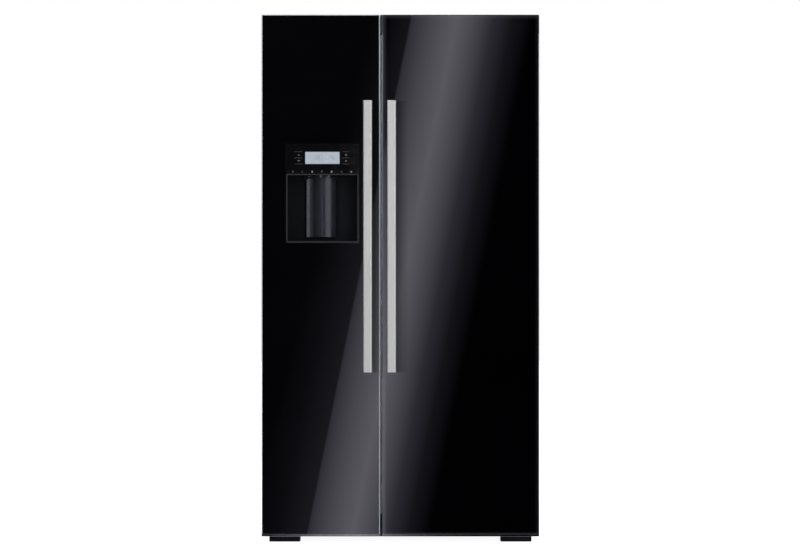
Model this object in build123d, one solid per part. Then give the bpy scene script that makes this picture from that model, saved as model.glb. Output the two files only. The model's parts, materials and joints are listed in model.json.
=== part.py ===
from build123d import *
import os

# Side by side refrigerator: a freezer with an ice and water dispenser on the left, a fridge on the right.
# Millimetres, +Z up, +X to the right seen from the front, the front faces -Y.
# The origin is on the floor, under the middle of the whole appliance, handles included.

# Overall size
overall_width = 910.0
overall_height = 1730.0
body_depth = 720.0
handle_projection = 45.0

# Doors
door_thickness = 70.0
door_floor_gap = 20.0
freezer_door_width = 388.0
door_gap = 7.0
door_corner_radius = 4.0
seal_gap = 12.0
frame_wall = 3.0
glass_thickness = 4.0
part_gap = 0.3

# Door hinges
hinge_side_inset = 16.0
hinge_front_inset = 42.0
hinge_arm_width = 26.0
hinge_plate_thickness = 4.0
hinge_pin_radius = 5.0
hinge_pin_reach = 20.0
hinge_arm_gap = 2.0
hinge_base_width = 80.0
hinge_base_depth = 60.0
hinge_collar_radius = 9.0
lower_arm_top = 48.0
notch_front_wall = 13.0
notch_clearance = 9.0
running_gap = 0.05
cap_bearing_height = 25.0
hinge_cover_height = 26.0
hinge_cover_width = 92.0
hinge_cover_depth = 84.0
hinge_cover_wall = 2.5
hinge_cover_overhang = 4.0
top_strip_depth = 30.0
top_strip_drop = 1.0

# Door inner panels, seals and bins
liner_wall = 2.5
dike_inset = 16.0
dike_width = 20.0
dike_depth = 40.0
gasket_width = 16.0
gasket_hinge_inset = 18.0
gasket_free_inset = 12.0
gasket_rim = 10.0
bin_wall = 2.5
bin_height = 110.0
bin_depth = 100.0
low_bin_depth = 80.0
bin_bottom = 150.0
bin_pitch = 245.0
low_bin_count = 2
freezer_bin_count = 4
fridge_bin_count = 5
top_bin_drop = 235.0
dairy_bin_drop = 380.0
dairy_bin_height = 140.0
dairy_front_height = 84.0
dairy_lid_wall = 2.5
dairy_pivot_radius = 3.0
dairy_pivot_drop = 8.0
dairy_pivot_setback = 9.0
dairy_lid_side_gap = 1.0

# Handles
handle_width = 30.0
handle_thickness = 15.0
handle_length = 889.0
handle_top_drop = 282.5
handle_post_height = 30.0
handle_edge_radius = 5.0
freezer_handle_inset = 40.3
fridge_handle_inset = 31.1

# Dispenser
dispenser_offset = 1.25
dispenser_width = 241.0
dispenser_top_drop = 424.0
panel_height = 96.0
niche_height = 229.0
niche_depth = 105.0
housing_wall = 3.0
fascia_thickness = 4.0
fascia_ring = 6.0
fascia_gap = 0.4
electronics_depth = 16.0
bulge_foam = 15.0
bulge_below = 25.0
bulge_above = 15.0
chute_width = 60.0
chute_front = 26.5
chute_outlet = 36.0
chute_lean = 0.6
nozzle_radius = 5.0
nozzle_side = 40.0
nozzle_reach = 8.0
display_width = 115.0
display_height = 42.0
display_drop = 45.6
display_setback = 0.5
key_width = 24.0
key_height = 17.0
key_pitch = 19.6
key_column_offset = 77.5
key_flange = 1.0
key_flange_thickness = 1.5
paddle_offset = -6.5
paddle_width = 96.0
paddle_bow = 8.0
paddle_wall = 3.0
paddle_foot_gap = 18.0
paddle_head_gap = 3.0
paddle_back_gap = 22.0
paddle_head = 14.0
paddle_pivot_radius = 3.0
paddle_ear_thickness = 6.0
grille_thickness = 5.0
grille_side_gap = 12.0
grille_slot = 5.0
grille_slot_pitch = 12.0

# Cabinet
cabinet_drop = 30.0
skirt_bottom = 22.0
sheet = 1.5
side_flange = 36.0
top_flange = 32.0
side_wall = 50.0
top_wall = 50.0
rear_wall = 60.0
mullion_width = 90.0
mullion_strip_width = 70.0
cavity_floor = 110.0
sill_height = 90.0
base_height = 58.0
bay_depth = 190.0
bay_top = 300.0
hump_wall = 42.5
hump_cover = 60.0

# Base, feet and rollers
front_rail_depth = 45.0
side_rail_width = 35.0
base_plate = 2.5
kick_lip_drop = 6.5
kick_lip_side_gap = 2.0
deck_top = 49.0
deck_thickness = 3.0
foot_cover_inset = 24.5
foot_cover_width = 101.0
foot_cover_wall = 3.0
foot_cover_lift = 1.0
foot_cover_front = 37.5
foot_cover_back = 132.5
foot_cover_door_gap = 3.0
foot_setback = 24.0
foot_pad_radius = 18.0
foot_pad_thickness = 6.0
foot_stem_radius = 5.0
foot_thread_grip = 10.0
foot_thread_gap = 0.3
foot_travel = 12.0
roller_radius = 22.0
roller_width = 20.0
roller_side_gap = 1.0
roller_from_back = 52.5
roller_slot_gap = 5.0
roller_axle_radius = 4.0
roller_ear_radius = 12.0

# Shelves and drawers
shelf_thickness = 4.0
shelf_front_setback = 115.5
shelf_rib_width = 6.0
shelf_rib_height = 8.0
shelf_back_gap = 3.0
first_shelf = 410.0
freezer_shelf_count = 5
fridge_shelf_count = 5
freezer_top_shelf_drop = 400.0
fridge_top_shelf_drop = 345.0
drawer_front_setback = 130.5
drawer_back_gap = 8.0
drawer_side_gap = 2.0
drawer_wall = 3.0
drawer_height = 136.0
drawer_grip_width = 120.0
drawer_grip_height = 22.0

# Cold air, light and ice
evaporator_cover_gap = 72.5
cover_thickness = 2.5
vent_slot = 6.0
vent_pitch = 18.0
vent_rows = 6
evaporator_depth = 55.0
evaporator_height = 290.0
evaporator_lift = 110.0
evaporator_side_gap = 12.0
evaporator_fins = 18
fin_thickness = 1.5
fin_tube_radius = 5.0
evaporator_fan_lift = 560.0
evaporator_fan_radius = 48.0
evaporator_fan_depth = 16.0
duct_width = 130.0
duct_depth = 22.0
duct_top_gap = 50.0
light_length = 90.0
light_width = 60.0
light_thickness = 10.0
light_setback = 130.0
ice_maker_width = 170.0
ice_maker_depth = 200.0
ice_maker_height = 110.0
ice_maker_wall = 4.0
ice_bin_height = 145.0
ice_bin_front_gap = 11.0
ice_bin_length = 390.0
ice_bin_side_gap = 8.0
ice_bin_outlet_height = 42.0

# Machine bay
bay_cover_setback = 18.0
compressor_from_side = 205.0
compressor_radius = 72.0
compressor_height = 165.0
compressor_edge = 28.0
compressor_plate_width = 190.0
compressor_plate_depth = 120.0
compressor_plate = 3.0
compressor_foot_radius = 10.0
compressor_foot_height = 9.0
condenser_valve_gap = 45.0
condenser_width = 200.0
condenser_depth = 130.0
condenser_height = 180.0
condenser_fins = 16
condenser_leg = 11.0
fan_x = -66.0
fan_plate = 6.0
fan_plate_width = 156.0
fan_plate_height = 180.0
fan_radius = 62.0
fan_tip_gap = 6.0
fan_hub_radius = 20.0
fan_hub_length = 18.0
fan_blades = 5
fan_blade_thickness = 2.0
fan_blade_pitch = 35.0
fan_shaft_radius = 3.0
fan_gap = 4.0
fan_arm_width = 14.0
motor_radius = 24.0
motor_length = 34.0
valve_from_side = 125.0
valve_width = 50.0
valve_depth = 45.0
valve_height = 72.0
inlet_radius = 13.2
inlet_height = 46.0
inlet_end_gap = 2.5
inlet_bore_radius = 8.0
inlet_hole_radius = 24.0
gland_from_side = 75.0
gland_height = 70.0
gland_radius = 10.0
gland_flange_radius = 14.0
gland_flange = 3.0
gland_length = 18.0
gland_bore_radius = 4.5
gland_hole_gap = 0.2
bay_vent_columns = 9
bay_vent_rows = 6
bay_vent_width = 50.0
bay_vent_height = 8.0
bay_vent_pitch_x = 66.0
bay_vent_pitch_z = 22.0

# Planes and limits worked out from the sizes above
half_width = overall_width / 2
door_front = handle_projection - (body_depth + handle_projection) / 2
door_back = door_front + door_thickness
cabinet_front = door_back + seal_gap
cabinet_back = door_front + body_depth
cabinet_top = overall_height - cabinet_drop
door_bottom = door_floor_gap
door_top = overall_height
freezer_free_edge = freezer_door_width - half_width
fridge_free_edge = freezer_free_edge + door_gap
middle = (freezer_free_edge + fridge_free_edge) / 2
hinge_x = half_width - hinge_side_inset
hinge_y = door_front + hinge_front_inset
hinge_cover_outer = hinge_x + hinge_arm_width / 2 + part_gap + hinge_cover_wall
hinge_cover_inner = hinge_cover_outer - hinge_cover_width
hinge_cover_front = cabinet_front - hinge_cover_overhang
upper_notch = cabinet_top - hinge_arm_gap
lower_notch = lower_arm_top + hinge_arm_gap
cap_top_edge = upper_notch - cap_bearing_height
cap_bottom_edge = lower_notch + cap_bearing_height
cavity_ceiling = cabinet_top - top_wall
cavity_back = cabinet_back - rear_wall
freezer_cavity = (side_wall - half_width, middle - mullion_width / 2)
fridge_cavity = (middle + mullion_width / 2, half_width - side_wall)
strip = (middle - mullion_strip_width / 2, middle + mullion_strip_width / 2)
bay_front = cabinet_back - bay_depth
hump_front = bay_front - base_plate - hump_wall
hump_top = bay_top + hump_cover
bay_cover_back = cabinet_back - bay_cover_setback
bay_middle = (bay_front + bay_cover_back - cover_thickness) / 2
compressor_x = compressor_from_side - half_width
valve_x = half_width - valve_from_side
condenser_x = valve_x - valve_width / 2 - condenser_valve_gap - condenser_width
gland_x = gland_from_side - half_width
rail_inner = half_width - sheet - side_rail_width
dispenser_x = (freezer_cavity[0] + freezer_cavity[1]) / 2 + dispenser_offset
dispenser = (dispenser_x - dispenser_width / 2, dispenser_x + dispenser_width / 2)
dispenser_top = door_top - dispenser_top_drop
niche_top = dispenser_top - panel_height
niche_bottom = niche_top - niche_height
niche_back = door_front + niche_depth
bulge_back = niche_back + housing_wall + bulge_foam + liner_wall
fascia_back = door_front + fascia_thickness
chute_front_y = door_front + chute_front
chute_back_y = chute_front_y + chute_outlet
chute_top = niche_top + (bulge_back - chute_front_y) / chute_lean
bulge = (niche_bottom - bulge_below, chute_top + bulge_above)
display_z = dispenser_top - display_drop
shelf_front = cabinet_front + shelf_front_setback
drawer_front = cabinet_front + drawer_front_setback
drawer_back = hump_front - drawer_back_gap
evaporator_cover_back = cavity_back - evaporator_cover_gap
paddle_edge_y = niche_back - paddle_back_gap
paddle_top = niche_top - housing_wall - paddle_head_gap
paddle_bottom = niche_bottom + housing_wall + paddle_foot_gap
paddle_radius = (paddle_width**2 / 4 + paddle_bow**2) / (2 * paddle_bow)
paddle_pivot_z = paddle_top - paddle_head / 2
paddle_pivot_y = paddle_edge_y - paddle_pivot_radius
paddle_x = dispenser_x + paddle_offset
paddle = (paddle_x - paddle_width / 2, paddle_x + paddle_width / 2)
dairy_bottom = door_top - dairy_bin_drop
dairy_pivot_z = dairy_bottom + dairy_bin_height - dairy_pivot_drop
dairy_pivot_y = door_back + dairy_pivot_setback
foot_stem_top = skirt_bottom + foot_travel + foot_thread_grip
drawer_levels = (
    cavity_floor + part_gap,
    first_shelf - shelf_rib_height - part_gap - drawer_height,
)


def block(x, y, z):
    """A box from its low and high limits along X, Y and Z."""
    low = Align.MIN
    size = [end - start for start, end in (x, y, z)]
    return Pos(x[0], y[0], z[0]) * Box(*size, align=(low, low, low))


def rod_x(radius, x, y, z):
    """A round bar along X."""
    bar = Cylinder(radius, x[1] - x[0], align=(Align.CENTER, Align.CENTER, Align.MIN))
    return Pos(x[0], y, z) * Rot(0, 90, 0) * bar


def rod_y(radius, x, y, z):
    """A round bar along Y."""
    bar = Cylinder(radius, y[1] - y[0], align=(Align.CENTER, Align.CENTER, Align.MIN))
    return Pos(x, y[0], z) * Rot(-90, 0, 0) * bar


def rod_z(radius, x, y, z):
    """An upright round bar."""
    bar = Cylinder(radius, z[1] - z[0], align=(Align.CENTER, Align.CENTER, Align.MIN))
    return Pos(x, y, z[0]) * bar


def prism_x(points, x):
    """A side profile, given as Y and Z points, drawn out along X."""
    face = Plane.YZ.offset(x[0]) * Polygon(*points, align=None)
    return extrude(face, x[1] - x[0])


def grown(limits, by):
    """Low and high limits moved outwards, or inwards where the distance is negative."""
    return (limits[0] - by, limits[1] + by)


def mirrored(side, near, far):
    """Limits measured from the middle towards one side, as a low and a high X."""
    return tuple(sorted((side * near, side * far)))


def group(solids):
    """Separate solids in one node."""
    return Compound(children=list(solids))


class Door:
    """Where one door lies: the side its hinges are on, its edges and the cavity that it closes."""

    def __init__(self, side, free_edge, cavity, handle_inset, bin_levels):
        self.side = side
        self.outer = side * half_width
        self.free = free_edge
        self.x = tuple(sorted((self.outer, self.free)))
        self.inner_x = grown(self.x, -frame_wall)
        self.dike_x = grown(cavity, -dike_inset)
        self.bin_x = grown(self.dike_x, -dike_width - part_gap)
        self.hinge_x = side * hinge_x
        self.handle_x = free_edge + side * handle_inset
        self.bin_levels = bin_levels

    def from_hinge_side(self, near, far):
        """Limits measured inwards from the hinge side, as a low and a high X."""
        return tuple(sorted((self.outer - self.side * near, self.outer - self.side * far)))


low_bins = [bin_bottom + step * bin_pitch for step in range(fridge_bin_count)]
freezer_bins = low_bins[: freezer_bin_count - 1] + [door_top - top_bin_drop]
freezer_door = Door(-1, freezer_free_edge, freezer_cavity, freezer_handle_inset, freezer_bins)
fridge_door = Door(1, fridge_free_edge, fridge_cavity, fridge_handle_inset, low_bins)
core_z = (cap_bottom_edge, cap_top_edge)
dike_z = grown((cavity_floor, cavity_ceiling), -dike_inset)


# Cabinet

def cabinet_shell():
    """Folded sheet over both sides and the top, with a flange turned in at the front."""
    outer = block((-half_width, half_width), (cabinet_front, cabinet_back), (skirt_bottom, cabinet_top))
    inner_x = (sheet - half_width, half_width - sheet)
    inner = block(inner_x, (cabinet_front + sheet, cabinet_back), (skirt_bottom, cabinet_top - sheet))
    window_x = (side_flange - half_width, half_width - side_flange)
    window_y = (cabinet_front, cabinet_front + sheet)
    window = block(window_x, window_y, (skirt_bottom, cabinet_top - top_flange))
    return outer - inner - window


def back_panel():
    """Flat sheet that closes the back above the machine bay."""
    x = (sheet - half_width, half_width - sheet)
    return block(x, (cabinet_back - sheet, cabinet_back), (bay_top, cabinet_top - sheet))


def cavity_profile(grow):
    """Side profile of a compartment, with its step over the machine bay."""
    return [
        (cabinet_front, cavity_floor - grow),
        (hump_front + grow, cavity_floor - grow),
        (hump_front + grow, hump_top - grow),
        (cavity_back + grow, hump_top - grow),
        (cavity_back + grow, cavity_ceiling + grow),
        (cabinet_front, cavity_ceiling + grow),
    ]


def liner_tub(cavity):
    """The outside of a compartment's liner, without its front flange."""
    return prism_x(cavity_profile(liner_wall), grown(cavity, liner_wall))


def rib_pair(cavity, back, top):
    """Two moulded ribs that carry a shelf or a drawer at its sides."""
    y = (shelf_front, back)
    z = (top - shelf_rib_height, top)
    left = block((cavity[0], cavity[0] + shelf_rib_width), y, z)
    right = block((cavity[1] - shelf_rib_width, cavity[1]), y, z)
    return left + right


def shelf_levels(count, top_drop):
    """Undersides of the shelves, evenly spaced from the drawers to the highest shelf."""
    top = overall_height - top_drop
    step = (top - first_shelf) / (count - 1)
    return [first_shelf + index * step for index in range(count)]


def compartment_liner(cavity, flange_x, levels, shelf_back):
    """Moulded tub with a front flange and ribs for the shelves and the upper drawer."""
    flange_z = (sill_height, cabinet_top - top_flange)
    flange = block(flange_x, (cabinet_front, cabinet_front + liner_wall), flange_z)
    liner = liner_tub(cavity) + flange - prism_x(cavity_profile(0), cavity)
    for level in levels:
        liner += rib_pair(cavity, shelf_back, level)
    return liner + rib_pair(cavity, drawer_back, drawer_levels[1] - part_gap)


freezer_shelf_levels = shelf_levels(freezer_shelf_count, freezer_top_shelf_drop)
fridge_shelf_levels = shelf_levels(fridge_shelf_count, fridge_top_shelf_drop)
freezer_shelf_back = evaporator_cover_back - cover_thickness - shelf_back_gap
fridge_shelf_back = cavity_back - duct_depth - part_gap - shelf_back_gap


def freezer_liner():
    """Liner of the left compartment."""
    flange_x = (side_flange - half_width, strip[0])
    return compartment_liner(freezer_cavity, flange_x, freezer_shelf_levels, freezer_shelf_back)


def fridge_liner():
    """Liner of the right compartment."""
    flange_x = (strip[1], half_width - side_flange)
    return compartment_liner(fridge_cavity, flange_x, fridge_shelf_levels, fridge_shelf_back)


def mullion_strip():
    """Cover strip on the wall between the two compartments."""
    return block(strip, (cabinet_front, cabinet_front + liner_wall), (sill_height, cabinet_top - top_flange))


foam_front = cabinet_front + liner_wall
foam_back = cabinet_back - sheet
foam_top = cabinet_top - sheet
bay_wall = (foam_front, bay_front - base_plate)


def side_slabs(x):
    """Insulation beside a compartment: a low slab in front of the machine bay and a high one over it."""
    low = block(x, bay_wall, (base_height, bay_top))
    return [low, block(x, (foam_front, foam_back), (bay_top, foam_top))]


def tub_slabs(x):
    """Insulation under, behind and over one compartment, with its step over the machine bay."""
    floor = cavity_floor - liner_wall
    step = hump_top - liner_wall
    ceiling = cavity_ceiling + liner_wall
    step_front = hump_front + liner_wall
    return [
        block(x, bay_wall, (base_height, floor)),
        block(x, (step_front, bay_wall[1]), (floor, bay_top)),
        block(x, (step_front, foam_back), (bay_top, step)),
        block(x, (cavity_back + liner_wall, foam_back), (step, ceiling)),
        block(x, (foam_front, foam_back), (ceiling, foam_top)),
    ]


def cabinet_foam():
    """Insulation between the shell and the liners, as slabs that meet."""
    inner = half_width - sheet
    left = grown(freezer_cavity, liner_wall)
    right = grown(fridge_cavity, liner_wall)
    slabs = tub_slabs(left) + tub_slabs(right)
    for x in ((-inner, left[0]), (left[1], right[0]), (right[1], inner)):
        slabs += side_slabs(x)
    return group(slabs)


# Base, feet and rollers

def foot_place(side):
    """Middle of a levelling foot."""
    return side * (half_width - foot_cover_inset - foot_cover_width / 2), cabinet_front + foot_setback


def roller_place(side):
    """Middle of a rear roller."""
    return side * (rail_inner + side_rail_width / 2), cabinet_back - roller_from_back


def roller_bracket(side):
    """Two ears under a side rail, with the axle between them."""
    x, y = roller_place(side)
    ear_y = (y - roller_ear_radius, y + roller_ear_radius)
    ear_z = (roller_radius - roller_ear_radius, skirt_bottom)
    rail = block((x - side_rail_width / 2, x + side_rail_width / 2), ear_y, ear_z)
    slot = (x - roller_width / 2 - roller_side_gap, x + roller_width / 2 + roller_side_gap)
    return rail - block(slot, ear_y, ear_z)


def roller_slot(side):
    """Room for a roller in its side rail."""
    x, y = roller_place(side)
    reach = roller_radius + roller_slot_gap
    slot = (x - roller_width / 2 - roller_side_gap, x + roller_width / 2 + roller_side_gap)
    return block(slot, (y - reach, y + reach), (skirt_bottom, roller_radius + reach))


def base_frame():
    """Rails, pan and machine deck that carry the cabinet, with the axles of the rear rollers."""
    rail_x = (side_flange - half_width, half_width - side_flange)
    rail_back = cabinet_front + front_rail_depth
    frame = block(rail_x, (cabinet_front, rail_back), (skirt_bottom, base_height))
    frame += block(rail_x, (cabinet_front, cabinet_front + liner_wall), (base_height, sill_height))
    lip_reach = half_width - foot_cover_inset - foot_cover_width - kick_lip_side_gap
    lip_y = (cabinet_front, cabinet_front + base_plate)
    frame += block((-lip_reach, lip_reach), lip_y, (skirt_bottom - kick_lip_drop, skirt_bottom))
    pan_x = (-rail_inner, rail_inner)
    frame += block(pan_x, (rail_back, bay_front), (base_height - base_plate, base_height))
    frame += block(pan_x, (bay_front - base_plate, bay_front), (deck_top - deck_thickness, bay_top))
    deck_y = (bay_front, bay_cover_back)
    frame += block(pan_x, deck_y, (deck_top - deck_thickness, deck_top))
    for side in (-1, 1):
        side_x = mirrored(side, rail_inner, half_width - sheet)
        frame += block(side_x, (rail_back, bay_cover_back), (skirt_bottom, base_height))
        x, y = foot_place(side)
        bore = (skirt_bottom, foot_stem_top + foot_thread_gap)
        frame -= rod_z(foot_stem_radius + foot_thread_gap, x, y, bore)
        frame -= roller_slot(side)
        frame += roller_bracket(side)
        x, y = roller_place(side)
        axle = (x - side_rail_width / 2, x + side_rail_width / 2)
        frame += rod_x(roller_axle_radius, axle, y, roller_radius)
    return frame


def foot_cover(side):
    """Open-bottomed cover over a levelling foot, low under the door and higher under the cabinet."""
    x = mirrored(side, half_width - foot_cover_inset - foot_cover_width, half_width - foot_cover_inset)
    front = door_front + foot_cover_front
    back = door_front + foot_cover_back
    low_top = door_bottom - foot_cover_door_gap
    z = (foot_cover_lift, low_top)
    step = (cabinet_front, back)
    cover = block(x, (front, back), z) + block(x, step, (foot_cover_lift, skirt_bottom))
    wall = -foot_cover_wall
    cover -= block(grown(x, wall), grown((front, back), wall), (foot_cover_lift, low_top + wall))
    cover -= block(grown(x, wall), grown(step, wall), (foot_cover_lift, skirt_bottom + wall))
    foot_x, foot_y = foot_place(side)
    hole = foot_stem_radius + foot_thread_gap
    return cover - rod_z(hole, foot_x, foot_y, (foot_cover_lift, skirt_bottom))


def levelling_foot(side):
    """Round pad on a stem that screws up into the front rail."""
    x, y = foot_place(side)
    pad = rod_z(foot_pad_radius, x, y, (0, foot_pad_thickness))
    return pad + rod_z(foot_stem_radius, x, y, (foot_pad_thickness, foot_stem_top))


def rear_roller(side):
    """Wheel that runs on an axle of the base frame."""
    x, y = roller_place(side)
    width = (x - roller_width / 2, x + roller_width / 2)
    wheel = rod_x(roller_radius, width, y, roller_radius)
    return wheel - rod_x(roller_axle_radius + running_gap, width, y, roller_radius)


# Door hinges

def arm_plate(side, back, bottom):
    """Hinge arm with a round end over the pin."""
    half = hinge_arm_width / 2
    x = side * hinge_x
    z = (bottom, bottom + hinge_plate_thickness)
    return block((x - half, x + half), (hinge_y, back), z) + rod_z(half, x, hinge_y, z)


def upper_hinge(side):
    """Plate on the cabinet's top, with a pin that points down into the door."""
    plate = arm_plate(side, cabinet_front, cabinet_top)
    half = hinge_arm_width / 2
    base_x = mirrored(side, hinge_x + half - hinge_base_width, hinge_x + half)
    base_z = (cabinet_top, cabinet_top + hinge_plate_thickness)
    plate += block(base_x, (cabinet_front, cabinet_front + hinge_base_depth), base_z)
    pin = (upper_notch - hinge_pin_reach, cabinet_top)
    return plate + rod_z(hinge_pin_radius, side * hinge_x, hinge_y, pin)


def lower_hinge(side):
    """Angle on the cabinet's front, with a collar and a pin that point up into the door."""
    bottom = lower_arm_top - hinge_plate_thickness
    plate = arm_plate(side, cabinet_front, bottom)
    half = hinge_arm_width / 2
    x = side * hinge_x
    leg_y = (cabinet_front - hinge_plate_thickness, cabinet_front)
    plate += block((x - half, x + half), leg_y, (skirt_bottom, lower_arm_top))
    plate += rod_z(hinge_collar_radius, x, hinge_y, (lower_arm_top, lower_notch - part_gap))
    return plate + rod_z(hinge_pin_radius, x, hinge_y, (lower_arm_top, lower_notch + hinge_pin_reach))


def hinge_cover(side):
    """Cap over an upper hinge plate, with a slot at the front for the arm."""
    half = hinge_arm_width / 2 + part_gap
    x = mirrored(side, hinge_cover_inner, hinge_cover_outer)
    y = (hinge_cover_front, hinge_cover_front + hinge_cover_depth)
    z = (cabinet_top, cabinet_top + hinge_cover_height)
    wall = -hinge_cover_wall
    cover = block(x, y, z)
    cover -= block(grown(x, wall), grown(y, wall), (z[0], z[1] + wall))
    arm_x = mirrored(side, hinge_x - half, hinge_x + half)
    arm_z = (cabinet_top, cabinet_top + hinge_plate_thickness + part_gap)
    return cover - block(arm_x, (hinge_cover_front, cabinet_front), arm_z)


def top_strip():
    """Hollow strip between the hinge covers, behind the upper edges of the doors."""
    x = grown((-hinge_cover_inner, hinge_cover_inner), -part_gap)
    y = (hinge_cover_front, hinge_cover_front + top_strip_depth)
    z = (cabinet_top, door_top - top_strip_drop)
    wall = -hinge_cover_wall
    return block(x, y, z) - block(grown(x, wall), grown(y, wall), (z[0], z[1] + wall))


# Door shells

def hinge_notch(door, z):
    """Room in a door's corner for a hinge arm, over the whole swing."""
    reach = hinge_side_inset + hinge_arm_width / 2 + notch_clearance
    return block(door.from_hinge_side(0, reach), (door_front + notch_front_wall, door_back), z)


def upper_notch_of(door):
    """The notch at a door's top corner."""
    return hinge_notch(door, (upper_notch, door_top))


def lower_notch_of(door):
    """The notch at a door's bottom corner."""
    return hinge_notch(door, (door_bottom, lower_notch))


def door_frame(door):
    """Metal edge all round a door, which shows as a thin lip around the glass."""
    outer = block(door.x, (door_front, door_back), (door_bottom, door_top))
    outer = fillet(outer.edges().filter_by(Axis.Y), door_corner_radius)
    inner = block(door.inner_x, (door_front, door_back), grown((door_bottom, door_top), -frame_wall))
    return outer - inner - upper_notch_of(door) - lower_notch_of(door)


def dispenser_cut(y, clearance):
    """The dispenser's outline through a layer of the freezer door."""
    return block(grown(dispenser, clearance), y, grown((niche_bottom, dispenser_top), clearance))


def door_glass(door):
    """Front glass, flush with the lip of the frame."""
    y = (door_front, door_front + glass_thickness)
    return block(door.inner_x, y, grown((door_bottom, door_top), -frame_wall))


def freezer_door_glass():
    """Front glass with the opening for the dispenser."""
    y = (door_front, door_front + glass_thickness)
    return door_glass(freezer_door) - dispenser_cut(y, fascia_gap)


def door_caps(door):
    """Moulded ends of a door, with the bores that the hinge pins turn in."""
    y = (door_front + glass_thickness, door_back)
    bore = hinge_pin_radius + running_gap
    depth = hinge_pin_reach + hinge_arm_gap
    top = block(door.inner_x, y, (cap_top_edge, door_top - frame_wall)) - upper_notch_of(door)
    top -= rod_z(bore, door.hinge_x, hinge_y, (upper_notch - depth, upper_notch))
    bottom = block(door.inner_x, y, (door_bottom + frame_wall, cap_bottom_edge)) - lower_notch_of(door)
    bottom -= rod_z(bore, door.hinge_x, hinge_y, (lower_notch, lower_notch + depth))
    return group([top, bottom])


def rectangle_ring(x, y, z, width):
    """Four-sided ring of one width, standing on the door's inner face."""
    return block(x, y, z) - block(grown(x, -width), y, grown(z, -width))


def door_core(door):
    """Insulation of a plain door, with the ridge that it fills in the inner panel."""
    core = block(door.inner_x, (door_front + glass_thickness, door_back - liner_wall), core_z)
    ridge_y = (door_back - liner_wall, door_back + dike_depth - liner_wall)
    ridge_x = grown(door.dike_x, -liner_wall)
    ridge_z = grown(dike_z, -liner_wall)
    return core + rectangle_ring(ridge_x, ridge_y, ridge_z, dike_width - 2 * liner_wall)


def inner_panel(door):
    """Outer form of a door's inner panel, before the insulation is taken out of it."""
    panel = block(door.inner_x, (door_back - liner_wall, door_back), core_z)
    return panel + rectangle_ring(door.dike_x, (door_back, door_back + dike_depth), dike_z, dike_width)


def dispenser_bulge(clearance):
    """The swelling of the freezer door's inner panel behind the dispenser."""
    x = grown(freezer_door.dike_x, -clearance)
    y = (door_back - liner_wall, bulge_back - clearance)
    return block(x, y, grown(bulge, -clearance))


def chute_profile(wall):
    """Side profile of the sloping ice chute, from the niche's ceiling to the inner panel."""
    end = bulge_back
    start = niche_top - housing_wall
    front = chute_front_y - chute_lean * housing_wall + wall
    back = chute_back_y - chute_lean * housing_wall - wall
    return [
        (front, start),
        (back, start),
        (end, start + (end - back) / chute_lean),
        (end, start + (end - front) / chute_lean),
    ]


def chute(wall):
    """The ice chute's outside, or its inside where the wall is taken off."""
    half = chute_width / 2 - wall
    return prism_x(chute_profile(wall), (dispenser_x - half, dispenser_x + half))


def housing_envelope():
    """Outside of the dispenser's housing: the niche, the electronics box and the chute."""
    niche = block(dispenser, (fascia_back, niche_back + housing_wall), (niche_bottom, niche_top))
    box_y = (fascia_back, fascia_back + electronics_depth + housing_wall)
    return niche + block(dispenser, box_y, (niche_top, dispenser_top)) + chute(0)


def freezer_door_foam():
    """Insulation of the freezer door, around the dispenser."""
    core = door_core(freezer_door) + dispenser_bulge(liner_wall)
    return core - housing_envelope() - dispenser_cut((door_front, fascia_back), fascia_gap)


def freezer_door_liner():
    """Inner panel of the freezer door, with the opening of the ice chute."""
    panel = inner_panel(freezer_door) + dispenser_bulge(0)
    return panel - door_core(freezer_door) - dispenser_bulge(liner_wall) - housing_envelope()


def fridge_door_liner():
    """Inner panel of the fridge door."""
    return inner_panel(fridge_door) - door_core(fridge_door)


def door_gasket(door):
    """Soft seal that meets the cabinet's front all round."""
    hinge_edge = door.outer - door.side * gasket_hinge_inset
    free_edge = door.free + door.side * gasket_free_inset
    x = tuple(sorted((hinge_edge, free_edge)))
    z = (sill_height - gasket_rim - gasket_width / 2, cabinet_top - gasket_rim)
    return rectangle_ring(x, (door_back, cabinet_front - part_gap), z, gasket_width)


def open_bin(x, y, z, wall):
    """Box with no lid."""
    return block(x, y, z) - block(grown(x, -wall), grown(y, -wall), (z[0] + wall, z[1]))


def door_bin(door, bottom, depth):
    """Open bin between the ridges of a door's inner panel."""
    y = (door_back + part_gap, door_back + depth)
    return open_bin(door.bin_x, y, (bottom, bottom + bin_height), bin_wall)


def door_bins(door):
    """All the open bins of a door, shallower in front of the drawers."""
    bins = []
    for index, level in enumerate(door.bin_levels):
        depth = low_bin_depth if index < low_bin_count else bin_depth
        bins.append(door_bin(door, level, depth))
    return bins


def dairy_bin():
    """Bin with tall sides that carry a lid."""
    y = (door_back + part_gap, door_back + bin_depth)
    x = fridge_door.bin_x
    z = (dairy_bottom, dairy_bottom + dairy_bin_height)
    box = open_bin(x, y, z, bin_wall)
    front_top = dairy_bottom + dairy_front_height
    box -= block(grown(x, -bin_wall), (y[1] - bin_wall, y[1]), (front_top, z[1]))
    pivot = dairy_pivot_radius + running_gap
    return box - rod_x(pivot, x, dairy_pivot_y, dairy_pivot_z)


def dairy_lid():
    """Lid over the dairy bin, bent down at its front, on two pivots in the bin's sides."""
    x = grown(fridge_door.bin_x, -bin_wall - dairy_lid_side_gap)
    back = door_back + bin_depth
    top = dairy_pivot_z + dairy_lid_wall / 2
    lid = block(x, (dairy_pivot_y, back), (top - dairy_lid_wall, top))
    front_z = (dairy_bottom + dairy_front_height + part_gap, top)
    lid += block(x, (back - dairy_lid_wall, back), front_z)
    return lid + rod_x(dairy_pivot_radius, fridge_door.bin_x, dairy_pivot_y, dairy_pivot_z)


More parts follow.
